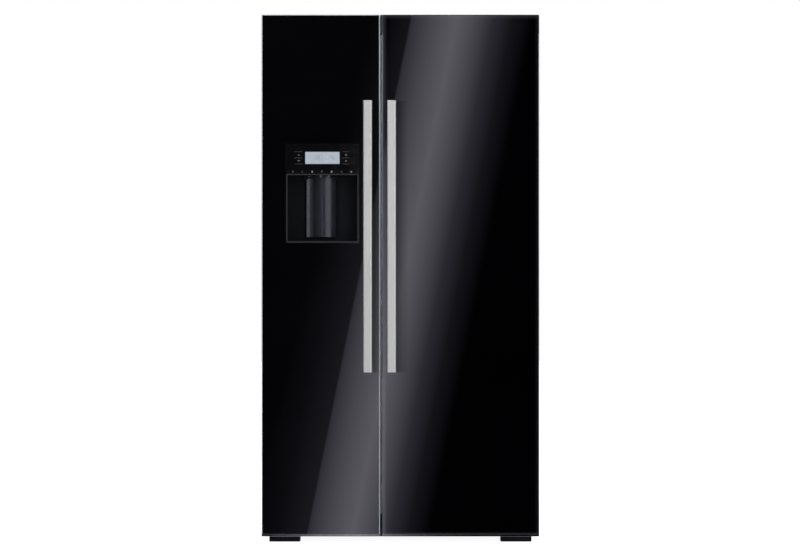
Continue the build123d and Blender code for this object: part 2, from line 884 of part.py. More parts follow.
def handle(door):
    """Upright bar on two posts."""
    x = (door.handle_x - handle_width / 2, door.handle_x + handle_width / 2)
    top = door_top - handle_top_drop
    bottom = top - handle_length
    bar_y = (door_front - handle_projection, door_front - handle_projection + handle_thickness)
    bar = block(x, bar_y, (bottom, top))
    bar = fillet(bar.edges().filter_by(Axis.Z), handle_edge_radius)
    post_y = (bar_y[1], door_front)
    low_post = block(x, post_y, (bottom, bottom + handle_post_height))
    high_post = block(x, post_y, (top - handle_post_height, top))
    return group([bar, low_post, high_post])


# Dispenser

def paddle_ear_x(side):
    """Limits of the lug beside the paddle that carries its pivot."""
    near = paddle_width / 2 + part_gap
    low, high = mirrored(side, near, near + paddle_ear_thickness)
    return (paddle_x + low, paddle_x + high)


def dispenser_housing():
    """Niche, electronics box and ice chute in one moulding, with the water nozzle and the paddle's lugs."""
    wall = -housing_wall
    housing = housing_envelope()
    niche_z = grown((niche_bottom, niche_top), wall)
    housing -= block(grown(dispenser, wall), (fascia_back, niche_back), niche_z)
    box_y = (fascia_back, fascia_back + electronics_depth)
    housing -= block(grown(dispenser, wall), box_y, (niche_top, dispenser_top + wall))
    housing -= chute(housing_wall)
    ear_top = niche_top - housing_wall
    ear_bottom = paddle_pivot_z - paddle_pivot_radius - paddle_wall
    ear_y = (paddle_pivot_y - paddle_pivot_radius - paddle_wall, niche_back)
    for side in (-1, 1):
        ear_x = paddle_ear_x(side)
        housing += block(ear_x, ear_y, (ear_bottom, ear_top))
        housing -= rod_x(paddle_pivot_radius + running_gap, ear_x, paddle_pivot_y, paddle_pivot_z)
    nozzle_z = (ear_top - nozzle_reach, ear_top)
    nozzle_y = (chute_front_y + chute_back_y) / 2
    return housing + rod_z(nozzle_radius, dispenser_x + nozzle_side, nozzle_y, nozzle_z)


def key_places():
    """Middle of each key, as X and Z, from the top left."""
    places = []
    for x_side in (-1, 1):
        for z_side in (1, -1):
            places.append((dispenser_x + x_side * key_column_offset, display_z + z_side * key_pitch / 2))
    return places


def key_body(place, y, margin):
    """A key's outline through one layer, widened by a margin."""
    x = grown((place[0] - key_width / 2, place[0] + key_width / 2), margin)
    z = grown((place[1] - key_height / 2, place[1] + key_height / 2), margin)
    return block(x, y, z)


def control_key(place):
    """Flush key with a flange behind the fascia that stops it from falling out."""
    flange_y = (fascia_back + part_gap, fascia_back + part_gap + key_flange_thickness)
    return key_body(place, (door_front, flange_y[0]), 0) + key_body(place, flange_y, key_flange)


def display_block(y, margin):
    """The display's outline through one layer, widened by a margin."""
    x = (dispenser_x - display_width / 2, dispenser_x + display_width / 2)
    z = (display_z - display_height / 2, display_z + display_height / 2)
    return block(grown(x, margin), y, grown(z, margin))


def dispenser_fascia():
    """Control panel above the niche and the frame round the niche, in one moulding."""
    layer = (door_front, fascia_back)
    fascia = block(dispenser, layer, (niche_bottom, dispenser_top))
    fascia -= block(grown(dispenser, -fascia_ring), layer, grown((niche_bottom, niche_top), -fascia_ring))
    fascia -= display_block(layer, part_gap)
    for place in key_places():
        fascia -= key_body(place, layer, part_gap)
    return fascia


def display_window():
    """Lens over the display, with the display itself behind it."""
    lens = display_block((door_front + display_setback, fascia_back), 0)
    return lens + display_block((fascia_back, fascia_back + electronics_depth), 0)


def dispenser_paddle():
    """Bowed lever at the back of the niche, on two short pivots at its top."""
    centre_y = paddle_edge_y - paddle_bow + paddle_radius
    bow_y = (paddle_edge_y - paddle_bow, paddle_edge_y)
    z = (paddle_bottom, paddle_top)
    bow = rod_z(paddle_radius, paddle_x, centre_y, z) & block(paddle, bow_y, z)
    hollow_z = (paddle_bottom, paddle_top - paddle_head)
    lever = bow - rod_z(paddle_radius - paddle_wall, paddle_x, centre_y, hollow_z)
    pivot_x = grown(paddle, part_gap + paddle_ear_thickness)
    return lever + rod_x(paddle_pivot_radius, pivot_x, paddle_pivot_y, paddle_pivot_z)


def dispenser_grille():
    """Slotted tray on the niche's floor."""
    x = grown(dispenser, -housing_wall - grille_side_gap)
    floor = niche_bottom + housing_wall
    y = (fascia_back + grille_side_gap, paddle_edge_y - paddle_bow)
    tray = block(x, y, (floor, floor + grille_thickness))
    slots = int((y[1] - y[0] - grille_slot_pitch) / grille_slot_pitch)
    for index in range(slots):
        start = y[0] + grille_slot_pitch * (index + 1) - grille_slot / 2
        slot_z = (floor + grille_thickness / 2, floor + grille_thickness)
        tray -= block(grown(x, -grille_side_gap), (start, start + grille_slot), slot_z)
    return tray


# Shelves, drawers and what hangs in the compartments

def glass_shelves():
    """Glass shelves of both compartments, on their ribs."""
    shelves = []
    rows = (
        (freezer_cavity, freezer_shelf_levels, freezer_shelf_back),
        (fridge_cavity, fridge_shelf_levels, fridge_shelf_back),
    )
    for cavity, levels, back in rows:
        for level in levels:
            z = (level, level + shelf_thickness)
            shelves.append(block(grown(cavity, -part_gap), (shelf_front, back), z))
    return group(shelves)


def drawer(cavity, level):
    """Open drawer with a grip slot in its front."""
    x = grown(cavity, -drawer_side_gap)
    z = (level, level + drawer_height)
    box = open_bin(x, (drawer_front, drawer_back), z, drawer_wall)
    centre = (x[0] + x[1]) / 2
    grip_x = (centre - drawer_grip_width / 2, centre + drawer_grip_width / 2)
    return box - block(grip_x, (drawer_front, drawer_front + drawer_wall), (z[1] - drawer_grip_height, z[1]))


def vent_slots(x, y, z):
    """Level slots through a thin plate, one above another."""
    slots = []
    for index in range(vent_rows):
        bottom = z + index * vent_pitch
        slots.append(block(x, y, (bottom, bottom + vent_slot)))
    return slots


def fan_place():
    """Middle of the freezer's fan, as X and Z."""
    return (freezer_cavity[0] + freezer_cavity[1]) / 2, hump_top + evaporator_fan_lift


def evaporator_cover():
    """Panel in front of the evaporator, slotted at its foot and in front of the fan."""
    x = grown(freezer_cavity, -part_gap)
    y = (evaporator_cover_back - cover_thickness, evaporator_cover_back)
    cover = block(x, y, (hump_top + part_gap, cavity_ceiling - part_gap))
    fan_x_place, fan_z = fan_place()
    slot_x = (fan_x_place - evaporator_fan_radius, fan_x_place + evaporator_fan_radius)
    low_slots = vent_slots(slot_x, y, hump_top + vent_pitch)
    return cover - low_slots - vent_slots(slot_x, y, fan_z - vent_rows * vent_pitch / 2)


def finned_block(x, y, z, fins, tubes):
    """Row of thin fins on straight tubes along X."""
    step = (x[1] - x[0] - fin_thickness) / (fins - 1)
    core = None
    for tube_y, tube_z in tubes:
        tube = rod_x(fin_tube_radius, x, tube_y, tube_z)
        core = tube if core is None else core + tube
    plates = []
    for index in range(fins):
        start = x[0] + index * step
        plates.append(block((start, start + fin_thickness), y, z))
    return core + plates


def evaporator():
    """Finned coil behind its cover, against the rear of the liner."""
    y = (cavity_back - part_gap - evaporator_depth, cavity_back - part_gap)
    bottom = hump_top + evaporator_lift
    z = (bottom, bottom + evaporator_height)
    centre = (y[0] + y[1]) / 2
    heights = [bottom + evaporator_height * share for share in (0.2, 0.5, 0.8)]
    tubes = [(centre, height) for height in heights]
    return finned_block(grown(freezer_cavity, -evaporator_side_gap), y, z, evaporator_fins, tubes)


def blade(radius, hub, length, angle):
    """One flat fan blade, pitched and turned about an upright axis."""
    span = block((0, radius), (-fan_blade_thickness / 2, fan_blade_thickness / 2), (-length / 2, length / 2))
    pitched = Rot(fan_blade_pitch, 0, 0) * span
    trim = Cylinder(radius, 2 * length) - Cylinder(hub / 2, 2 * length)
    return Rot(0, 0, angle) * (pitched & trim)


def rotor(radius, hub, length):
    """Fan rotor about an upright axis through the origin, with a bore for its shaft."""
    body = Cylinder(hub, length)
    for index in range(fan_blades):
        body += blade(radius, hub, length, index * 360 / fan_blades)
    return body - Cylinder(fan_shaft_radius + running_gap, length)


evaporator_rotor_y = (
    evaporator_cover_back + fan_gap,
    evaporator_cover_back + fan_gap + evaporator_fan_depth,
)


def evaporator_fan_rotor():
    """Fan that drives the cold air, turning about Y."""
    x, z = fan_place()
    centre = (evaporator_rotor_y[0] + evaporator_rotor_y[1]) / 2
    fan = rotor(evaporator_fan_radius, fan_hub_radius, evaporator_fan_depth)
    return Pos(x, centre, z) * Rot(-90, 0, 0) * fan


def evaporator_fan_motor():
    """Motor of the freezer's fan, held against the rear of the liner."""
    x, z = fan_place()
    body = rod_y(motor_radius, x, (evaporator_rotor_y[1] + fan_gap, cavity_back - part_gap), z)
    return body + rod_y(fan_shaft_radius, x, (evaporator_rotor_y[0], evaporator_rotor_y[1] + fan_gap), z)


def air_duct():
    """Air duct up the rear of the fridge compartment, with an outlet above each shelf."""
    centre = (fridge_cavity[0] + fridge_cavity[1]) / 2
    x = (centre - duct_width / 2, centre + duct_width / 2)
    y = (cavity_back - part_gap - duct_depth, cavity_back - part_gap)
    duct = block(x, y, (hump_top + part_gap, cavity_ceiling - duct_top_gap))
    duct -= block(grown(x, -cover_thickness), (y[0] + cover_thickness, y[1]), (hump_top, cavity_ceiling))
    for level in fridge_shelf_levels:
        outlet = (level + vent_pitch + shelf_thickness, level + 2 * vent_pitch + shelf_thickness)
        duct -= block(grown(x, -vent_pitch), (y[0], y[0] + cover_thickness), outlet)
    return duct


def light_covers():
    """Lens of the lamp on each compartment's ceiling."""
    lenses = []
    z = (cavity_ceiling - light_thickness, cavity_ceiling)
    y = (cabinet_front + light_setback, cabinet_front + light_setback + light_width)
    for cavity in (freezer_cavity, fridge_cavity):
        centre = (cavity[0] + cavity[1]) / 2
        lenses.append(block((centre - light_length / 2, centre + light_length / 2), y, z))
    return group(lenses)


def ice_maker():
    """Ice mould with its drive, hung from the freezer's ceiling."""
    centre = (freezer_cavity[0] + freezer_cavity[1]) / 2
    x = (centre - ice_maker_width / 2, centre + ice_maker_width / 2)
    back = freezer_shelf_back
    z = (cavity_ceiling - part_gap - ice_maker_height, cavity_ceiling - part_gap)
    body = block(x, (back - ice_maker_depth, back), z)
    mould_z = (z[0] + ice_maker_wall, z[0] + ice_maker_height / 2)
    mould_y = (back - ice_maker_depth, back - ice_maker_depth / 4)
    return body - block(grown(x, -ice_maker_wall), mould_y, mould_z)


def ice_bin():
    """Bucket for ice on the top freezer shelf, with an outlet in line with the chute."""
    x = grown(freezer_cavity, -ice_bin_side_gap - shelf_rib_width)
    front = bulge_back + ice_bin_front_gap
    floor = freezer_shelf_levels[-1] + shelf_thickness + part_gap
    z = (floor, floor + ice_bin_height)
    bucket = open_bin(x, (front, front + ice_bin_length), z, drawer_wall)
    outlet_x = (dispenser_x - chute_width / 2, dispenser_x + chute_width / 2)
    outlet_z = (floor + drawer_wall, floor + drawer_wall + ice_bin_outlet_height)
    return bucket - block(outlet_x, (front, front + drawer_wall), outlet_z)


# Machine bay

def compressor():
    """Sealed pot on a plate with four feet."""
    y = bay_middle
    plate_z = (deck_top + compressor_foot_height, deck_top + compressor_foot_height + compressor_plate)
    pot = rod_z(compressor_radius, compressor_x, y, (plate_z[1], plate_z[1] + compressor_height))
    pot = fillet(pot.edges().filter_by(GeomType.CIRCLE), compressor_edge)
    half = compressor_plate_width / 2
    depth = compressor_plate_depth / 2
    unit = pot + block((compressor_x - half, compressor_x + half), (y - depth, y + depth), plate_z)
    for x_side in (-1, 1):
        for y_side in (-1, 1):
            foot_x = compressor_x + x_side * (half - compressor_foot_radius)
            foot_y = y + y_side * (depth - compressor_foot_radius)
            unit += rod_z(compressor_foot_radius, foot_x, foot_y, (deck_top, plate_z[0]))
    return unit


def condenser_coil():
    """Finned coil whose end plates stand on the deck."""
    x = (condenser_x, condenser_x + condenser_width)
    y = (bay_middle - condenser_depth / 2, bay_middle + condenser_depth / 2)
    bottom = deck_top + condenser_leg
    heights = [bottom + condenser_height * share for share in (0.25, 0.5, 0.75)]
    tubes = [(bay_middle, height) for height in heights]
    coil = finned_block(x, y, (bottom, bottom + condenser_height), condenser_fins, tubes)
    for start in (x[0], x[1] - fin_thickness):
        coil += block((start, start + fin_thickness), y, (deck_top, bottom))
    return coil


fan_z_place = deck_top + fan_plate_height / 2


def condenser_fan_motor():
    """Motor on a cross arm in a plate with a round opening for the air."""
    y = (bay_middle - fan_plate_width / 2, bay_middle + fan_plate_width / 2)
    z = (deck_top, deck_top + fan_plate_height)
    plate_x = (fan_x, fan_x + fan_plate)
    plate = block(plate_x, y, z)
    plate -= rod_x(fan_radius + fan_tip_gap, plate_x, bay_middle, fan_z_place)
    half = fan_arm_width / 2
    plate += block(plate_x, y, (fan_z_place - half, fan_z_place + half))
    motor_x = (plate_x[1], plate_x[1] + motor_length)
    plate += rod_x(motor_radius, motor_x, bay_middle, fan_z_place)
    shaft_x = (fan_x - fan_gap - fan_hub_length, fan_x)
    return plate + rod_x(fan_shaft_radius, shaft_x, bay_middle, fan_z_place)


def condenser_fan_rotor():
    """Fan that draws air over the condenser, turning about X."""
    centre = fan_x - fan_gap - fan_hub_length / 2
    fan = rotor(fan_radius, fan_hub_radius, fan_hub_length)
    return Pos(centre, bay_middle, fan_z_place) * Rot(0, 90, 0) * fan


inlet_z = deck_top + inlet_height


def water_valve():
    """Inlet valve on the deck, with a threaded stub that points to the rear."""
    x = (valve_x - valve_width / 2, valve_x + valve_width / 2)
    body_back = bay_cover_back - cover_thickness - part_gap
    body = block(x, (body_back - valve_depth, body_back), (deck_top, deck_top + valve_height))
    stub = (body_back, cabinet_back - inlet_end_gap)
    body += rod_y(inlet_radius, valve_x, stub, inlet_z)
    return body - rod_y(inlet_bore_radius, valve_x, stub, inlet_z)


def machine_cover():
    """Vented cover of the machine bay, with openings for the water inlet and the cord gland."""
    x = (sheet + part_gap - half_width, half_width - sheet - part_gap)
    y = (bay_cover_back - cover_thickness, bay_cover_back)
    cover = block(x, y, (base_height + part_gap, bay_top - part_gap))
    cover -= rod_y(inlet_hole_radius, valve_x, y, inlet_z)
    cover -= rod_y(gland_radius + gland_hole_gap, gland_x, y, deck_top + gland_height)
    vents = []
    first_x = -bay_vent_pitch_x * (bay_vent_columns - 1) / 2
    first_z = bay_top - bay_vent_pitch_z * (bay_vent_rows + 1)
    for column in range(bay_vent_columns):
        left = first_x + column * bay_vent_pitch_x - bay_vent_width / 2
        for row in range(bay_vent_rows):
            low = first_z + row * bay_vent_pitch_z
            vents.append(block((left, left + bay_vent_width), y, (low, low + bay_vent_height)))
    return cover - vents


def cord_gland():
    """Bush in the cover that the mains cord comes out of."""
    z = deck_top + gland_height
    flange_y = (bay_cover_back, bay_cover_back + gland_flange)
    sleeve_y = (flange_y[1] - gland_length, flange_y[1])
    bush = rod_y(gland_radius, gland_x, sleeve_y, z) + rod_y(gland_flange_radius, gland_x, flange_y, z)
    return bush - rod_y(gland_bore_radius, gland_x, sleeve_y, z)


def both_sides(make):
    """The left and the right one of a pair, in one node."""
    return group([make(-1), make(1)])


def drawers():
    """The four drawers, by node name."""
    rows = {"freezer_drawer": freezer_cavity, "crisper_drawer": fridge_cavity}
    made = {}
    for name, cavity in rows.items():
        for place, level in zip(("lower", "upper"), drawer_levels):
            made[f"{name}_{place}"] = drawer(cavity, level)
    return made


def keys():
    """The four keys, by node name."""
    return {f"control_key_{index + 1}": control_key(place) for index, place in enumerate(key_places())}


def door_nodes():
    """The pieces that both doors have, by node name."""
    made = {}
    for name, door in (("freezer", freezer_door), ("fridge", fridge_door)):
        made[f"{name}_door_frame"] = door_frame(door)
        made[f"{name}_door_caps"] = door_caps(door)
        made[f"{name}_door_gasket"] = door_gasket(door)
        made[f"{name}_handle"] = handle(door)
    return made


def paired_nodes():
    """The feet and rollers, by node name."""
    made = {}
    for name, side in (("left", -1), ("right", 1)):
        made[f"levelling_foot_{name}"] = levelling_foot(side)
        made[f"rear_roller_{name}"] = rear_roller(side)
    return made


def cabinet_nodes():
    """The pieces of the cabinet and what it holds, by node name."""
    return {
        "cabinet_shell": cabinet_shell(),
        "back_panel": back_panel(),
        "cabinet_foam": cabinet_foam(),
        "freezer_liner": freezer_liner(),
        "fridge_liner": fridge_liner(),
        "mullion_strip": mullion_strip(),
        "base_frame": base_frame(),
        "foot_covers": both_sides(foot_cover),
        "door_hinges": group([make(side) for side in (-1, 1) for make in (upper_hinge, lower_hinge)]),
        "hinge_covers": group([hinge_cover(-1), hinge_cover(1), top_strip()]),
        "glass_shelves": glass_shelves(),
        "evaporator_cover": evaporator_cover(),
        "evaporator": evaporator(),
        "evaporator_fan_motor": evaporator_fan_motor(),
        "evaporator_fan_rotor": evaporator_fan_rotor(),
        "air_duct": air_duct(),
        "light_covers": light_covers(),
        "ice_maker": ice_maker(),
        "ice_bin": ice_bin(),
        "compressor": compressor(),
        "condenser_coil": condenser_coil(),
        "condenser_fan_motor": condenser_fan_motor(),
        "condenser_fan_rotor": condenser_fan_rotor(),
        "water_valve": water_valve(),
        "machine_cover": machine_cover(),
        "cord_gland": cord_gland(),
    }


def single_door_nodes():
    """The pieces that only one of the doors has, by node name."""
    return {
        "freezer_door_glass": freezer_door_glass(),
        "freezer_door_foam": freezer_door_foam(),
        "freezer_door_liner": freezer_door_liner(),
        "freezer_door_bins": group(door_bins(freezer_door)),
        "dispenser_housing": dispenser_housing(),
        "dispenser_fascia": dispenser_fascia(),
        "display_window": display_window(),
        "dispenser_paddle": dispenser_paddle(),
        "dispenser_grille": dispenser_grille(),
        "fridge_door_glass": door_glass(fridge_door),
        "fridge_door_foam": door_core(fridge_door),
        "fridge_door_liner": fridge_door_liner(),
        "fridge_door_bins": group(door_bins(fridge_door) + [dairy_bin()]),
        "dairy_lid": dairy_lid(),
    }


def main():
    """Build every node and write it to its own file."""
    os.makedirs("parts", exist_ok=True)
    makers = (cabinet_nodes, door_nodes, single_door_nodes, paired_nodes, drawers, keys)
    for make in makers:
        for name, shape in make().items():
            export_step(shape, f"parts/{name}.step")


if __name__ == "__main__":
    main()
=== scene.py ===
import json
import math

import bmesh
import bpy
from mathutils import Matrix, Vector


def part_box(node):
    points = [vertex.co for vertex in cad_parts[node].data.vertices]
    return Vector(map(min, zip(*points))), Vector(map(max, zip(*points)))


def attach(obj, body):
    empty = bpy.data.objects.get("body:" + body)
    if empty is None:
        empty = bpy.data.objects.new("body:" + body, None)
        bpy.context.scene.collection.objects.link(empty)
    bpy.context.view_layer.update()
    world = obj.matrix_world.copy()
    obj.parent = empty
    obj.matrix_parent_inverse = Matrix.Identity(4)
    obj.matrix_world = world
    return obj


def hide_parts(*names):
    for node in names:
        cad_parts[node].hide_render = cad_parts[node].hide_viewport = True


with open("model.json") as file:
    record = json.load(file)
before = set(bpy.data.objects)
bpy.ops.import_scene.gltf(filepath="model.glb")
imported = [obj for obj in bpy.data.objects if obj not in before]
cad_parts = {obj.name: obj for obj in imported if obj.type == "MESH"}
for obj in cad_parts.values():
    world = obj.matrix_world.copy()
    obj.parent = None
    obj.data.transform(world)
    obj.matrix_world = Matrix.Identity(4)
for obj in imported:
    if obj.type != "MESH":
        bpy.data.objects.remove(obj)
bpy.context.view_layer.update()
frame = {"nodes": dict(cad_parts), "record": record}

# Side by side refrigerator with black glass doors, in metres. The front faces -Y.

MM = 0.001

# Camera, which shows the appliance straight on, as the photograph does
CAMERA_X = -0.0013
CAMERA_HEIGHT = 0.8685
CAMERA_DISTANCE = 14.0
VIEW_WIDTH = 2.621
SENSOR_WIDTH = 36.0

door_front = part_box("fridge_door_glass")[0].y


# Node helpers

NOISE_RANGE = (0.3, 0.7)
COOL = (0.84, 0.86, 1.0)


def new_material(name, colour, roughness, metallic=0.0):
    """A principled material, returned with its node tree and its shader."""
    material = bpy.data.materials.new(name)
    material.use_nodes = True
    tree = material.node_tree
    shader = tree.nodes["Principled BSDF"]
    shader.inputs["Base Color"].default_value = (*colour, 1.0)
    shader.inputs["Roughness"].default_value = roughness
    shader.inputs["Metallic"].default_value = metallic
    return material, tree, shader


def noise(tree, scale, detail=3.0, stretch=(1.0, 1.0, 1.0)):
    """Noise in the object's own coordinates, stretched along an axis where its factor is small."""
    place = tree.nodes.new("ShaderNodeTexCoord")
    mapping = tree.nodes.new("ShaderNodeMapping")
    texture = tree.nodes.new("ShaderNodeTexNoise")
    mapping.inputs["Scale"].default_value = stretch
    texture.inputs["Scale"].default_value = scale
    texture.inputs["Detail"].default_value = detail
    tree.links.new(place.outputs["Object"], mapping.inputs["Vector"])
    tree.links.new(mapping.outputs["Vector"], texture.inputs["Vector"])
    return texture.outputs["Fac"]


def vary_colour(tree, shader, source, dark, light):
    """Colour that wanders between two tones."""
    ramp = tree.nodes.new("ShaderNodeValToRGB")
    for element, position, colour in zip(ramp.color_ramp.elements, NOISE_RANGE, (dark, light)):
        element.position = position
        element.color = (*colour, 1.0)
    tree.links.new(source, ramp.inputs["Fac"])
    tree.links.new(ramp.outputs["Color"], shader.inputs["Base Color"])


def vary_roughness(tree, shader, source, low, high):
    """Roughness that wanders between two values."""
    spread = tree.nodes.new("ShaderNodeMapRange")
    spread.inputs["From Min"].default_value = NOISE_RANGE[0]
    spread.inputs["From Max"].default_value = NOISE_RANGE[1]
    spread.inputs["To Min"].default_value = low
    spread.inputs["To Max"].default_value = high
    tree.links.new(source, spread.inputs["Value"])
    tree.links.new(spread.outputs["Result"], shader.inputs["Roughness"])


def add_bump(tree, shader, source, strength, depth):
    """Fine relief from a texture, with its depth in metres."""
    bump = tree.nodes.new("ShaderNodeBump")
    bump.inputs["Strength"].default_value = strength
    bump.inputs["Distance"].default_value = depth
    tree.links.new(source, bump.inputs["Height"])
    tree.links.new(bump.outputs["Normal"], shader.inputs["Normal"])


def local_limits(node):
    """Lowest and highest place of a CAD node in its own coordinates."""
    corners = [Vector(corner) for corner in frame["nodes"][node].bound_box]
    low = [min(corner[axis] for corner in corners) for axis in range(3)]
    high = [max(corner[axis] for corner in corners) for axis in range(3)]
    return low, high


def own_place(tree, kind):
    """A coordinate of the node itself, split into X, Y and Z."""
    place = tree.nodes.new("ShaderNodeTexCoord")
    split = tree.nodes.new("ShaderNodeSeparateXYZ")
    tree.links.new(place.outputs[kind], split.inputs["Vector"])
    return split.outputs


def fade_between(tree, source, start, end, first, last):
    """A value that goes softly from first to last between two places. first may be an output of a node."""
    fade = tree.nodes.new("ShaderNodeMapRange")
    fade.interpolation_type = "SMOOTHSTEP"
    fade.inputs["From Min"].default_value = start
    fade.inputs["From Max"].default_value = end
    if isinstance(first, bpy.types.NodeSocket):
        tree.links.new(first, fade.inputs["To Min"])
    else:
        fade.inputs["To Min"].default_value = first
    fade.inputs["To Max"].default_value = last
    tree.links.new(source, fade.inputs["Value"])
    return fade.outputs["Result"]


def change_colour(tree, shader, operation, source, socket):
    """Add a tone to the colour that a shader has so far, or scale that colour."""
    change = tree.nodes.new("ShaderNodeVectorMath")
    change.operation = operation
    link = shader.inputs["Base Color"].links[0]
    tree.links.new(link.from_socket, change.inputs[0])
    tree.links.new(source, change.inputs[socket])
    tree.links.new(change.outputs["Vector"], shader.inputs["Base Color"])


def cool_colour(tree, shader):
    """Turn the colour that a shader has so far towards blue."""
    cool = tree.nodes.new("ShaderNodeCombineXYZ")
    for axis, share in zip("XYZ", COOL):
        cool.inputs[axis].default_value = share
    change_colour(tree, shader, "MULTIPLY", cool.outputs["Vector"], 1)


# Materials

def black_glass(name, dark, light):
    """Back-painted black glass with the faintest haze."""
    material, tree, shader = new_material(name, light, 0.02)
    shader.inputs["Specular IOR Level"].default_value = 0.3
    haze = noise(tree, 2.5, 4.0)
    vary_colour(tree, shader, haze, dark, light)
    vary_roughness(tree, shader, haze, 0.005, 0.012)
    return material


def rim_highlight_glass(node):
    """Black glass with a painted highlight along its rim, strongest beside the gap between the doors."""
    material = black_glass("rim_highlight_glass", (0.0004, 0.0004, 0.0006), (0.0008, 0.0008, 0.0012))
    tree = material.node_tree
    shader = tree.nodes["Principled BSDF"]
    low, high = local_limits(node)
    place = own_place(tree, "Object")
    width = 0.014
    # Painted highlight beside the gap, weaker above 1.1 m.
    gap_highlight = fade_between(tree, place["Z"], 1.1, 1.55, 0.05, 0.024)
    rims = (
        ("X", low[0], 1, gap_highlight),
        ("X", high[0], -1, 0.007),
        ("Z", low[2], 1, 0.024),
        ("Z", high[2], -1, 0.015),
    )
    # Each rim gets a painted highlight that fades out over 14 mm inwards.
    for axis, edge, inward, tone in rims:
        glow = fade_between(tree, place[axis], edge, edge + inward * width, tone, 0.0)
        change_colour(tree, shader, "ADD", glow, 1)
    cool_colour(tree, shader)
    return material


def brushed_metal(name, dark, light, roughness, metallic, relief=0.06):
    """Satin metal brushed along its length."""
    material, tree, shader = new_material(name, light, roughness, metallic)
    lines = noise(tree, 900.0, 2.0, (1.0, 1.0, 0.01))
    vary_colour(tree, shader, lines, dark, light)
    vary_roughness(tree, shader, noise(tree, 6.0), roughness - 0.05, roughness + 0.05)
    add_bump(tree, shader, lines, relief, 0.0002)
    return material


def edge_metal(name):
    """Satin metal of the doors' edges."""
    return brushed_metal(name, (0.425, 0.452, 0.485), (0.478, 0.505, 0.54), 0.4, 0.8, 0.02)


def edge_metal_painted_shade():
    """Metal edge with painted shade on its front, as dark as the glass there, less shaded higher up and
    most at the two ends.
    """
    material = edge_metal("edge_metal_painted_shade")
    tree = material.node_tree
    height = own_place(tree, "Object")["Z"]
    front = 0.1
    # Painted shade on the front faces: darkest at both ends, lighter higher up.
    for start, end, share in ((0.13, 0.15, 0.26), (0.8, 1.1, 0.4), (1.66, 1.672, 0.08)):
        front = fade_between(tree, height, start, end, front, share)
    facing = own_place(tree, "Normal")["Y"]
    share = fade_between(tree, facing, -0.98, -0.6, front, 1.0)
    change_colour(tree, tree.nodes["Principled BSDF"], "SCALE", share, "Scale")
    return material


def strip_metal():
    """Satin metal of the strip between the doors, with painted light: pale all over and paler higher up."""
    material = brushed_metal("strip_metal", (0.79, 0.83, 0.89), (0.85, 0.89, 0.95), 0.38, 0.45, 0.01)
    tree = material.node_tree
    # Painted light that grows upwards along the strip.
    share = fade_between(tree, own_place(tree, "Object")["Z"], 0.2, 1.4, 0.82, 1.1)
    change_colour(tree, tree.nodes["Principled BSDF"], "SCALE", share, "Scale")
    return material


def polished_metal(name, dark, light, roughness):
    """Smooth dark metal, a little uneven in its tone and gloss."""
    material, tree, shader = new_material(name, light, roughness, 1.0)
    vary_colour(tree, shader, noise(tree, 25.0), dark, light)
    vary_roughness(tree, shader, noise(tree, 60.0), roughness - 0.015, roughness + 0.015)
    return material


def painted_sheet(name, dark, light, roughness):
    """Baked paint on sheet metal, with the slight orange peel of such paint."""
    material, tree, shader = new_material(name, light, roughness)
    vary_colour(tree, shader, noise(tree, 3.0), dark, light)
    vary_roughness(tree, shader, noise(tree, 40.0), roughness - 0.04, roughness + 0.06)
    add_bump(tree, shader, noise(tree, 420.0, 1.0), 0.12, 0.0004)
    return material


def zinc_sheet():
    """Galvanised sheet with its crystal pattern."""
    material, tree, shader = new_material("zinc_sheet", (0.42, 0.43, 0.44), 0.4, 0.7)
    place = tree.nodes.new("ShaderNodeTexCoord")
    cells = tree.nodes.new("ShaderNodeTexVoronoi")
    cells.inputs["Scale"].default_value = 190.0
    cells.inputs["Randomness"].default_value = 1.0
    tree.links.new(place.outputs["Object"], cells.inputs["Vector"])
    split = tree.nodes.new("ShaderNodeSeparateColor")
    tree.links.new(cells.outputs["Color"], split.inputs["Color"])
    vary_colour(tree, shader, split.outputs["Red"], (0.385, 0.395, 0.405), (0.43, 0.44, 0.45))
    vary_roughness(tree, shader, split.outputs["Green"], 0.36, 0.46)
    return material


def moulded_plastic(name, dark, light, roughness, relief=0.1, specular=0.5, gloss=(1.0, 1.0, 1.0)):
    """Moulded plastic with a fine grain and an uneven tone. gloss is the colour of its shine."""
    material, tree, shader = new_material(name, light, roughness)
    shader.inputs["Specular IOR Level"].default_value = specular
    shader.inputs["Specular Tint"].default_value = (*gloss, 1.0)
    vary_colour(tree, shader, noise(tree, 7.0), dark, light)
    vary_roughness(tree, shader, noise(tree, 30.0), roughness - 0.04, roughness + 0.05)
    add_bump(tree, shader, noise(tree, 900.0, 2.0), relief, 0.0003)
    return material


def smoke_plastic(name):
    """Smooth smoky plastic with a cool shine."""
    return moulded_plastic(name, (0.0025, 0.0026, 0.0042), (0.004, 0.0042, 0.0066), 0.16,
                           relief=0.004, specular=0.24, gloss=COOL)


def paddle_painted_light(node):
    """Smoky plastic with painted light from a little left of its middle to its right edge, and painted
    shade that dims that light towards the right edge.
    """
    material = smoke_plastic("paddle_painted_light")
    tree = material.node_tree
    low, high = local_limits(node)
    wide = high[0] - low[0]
    across = own_place(tree, "Object")["X"]
    # Painted light, then painted shade further right.
    light_band = fade_between(tree, across, low[0] + 0.2 * wide, low[0] + 0.46 * wide, 0.0, 0.023)
    shade_band = fade_between(tree, across, low[0] + 0.56 * wide, low[0] + 0.7 * wide, 0.0, -0.014)
    shader = tree.nodes["Principled BSDF"]
    for tone in (light_band, shade_band):
        change_colour(tree, shader, "ADD", tone, 1)
    cool_colour(tree, shader)
    return material


def panel_print(name, dark, light, roughness=0.5):
    """Print on the dispenser's panel, almost flat."""
    return moulded_plastic(name, dark, light, roughness, relief=0.02)


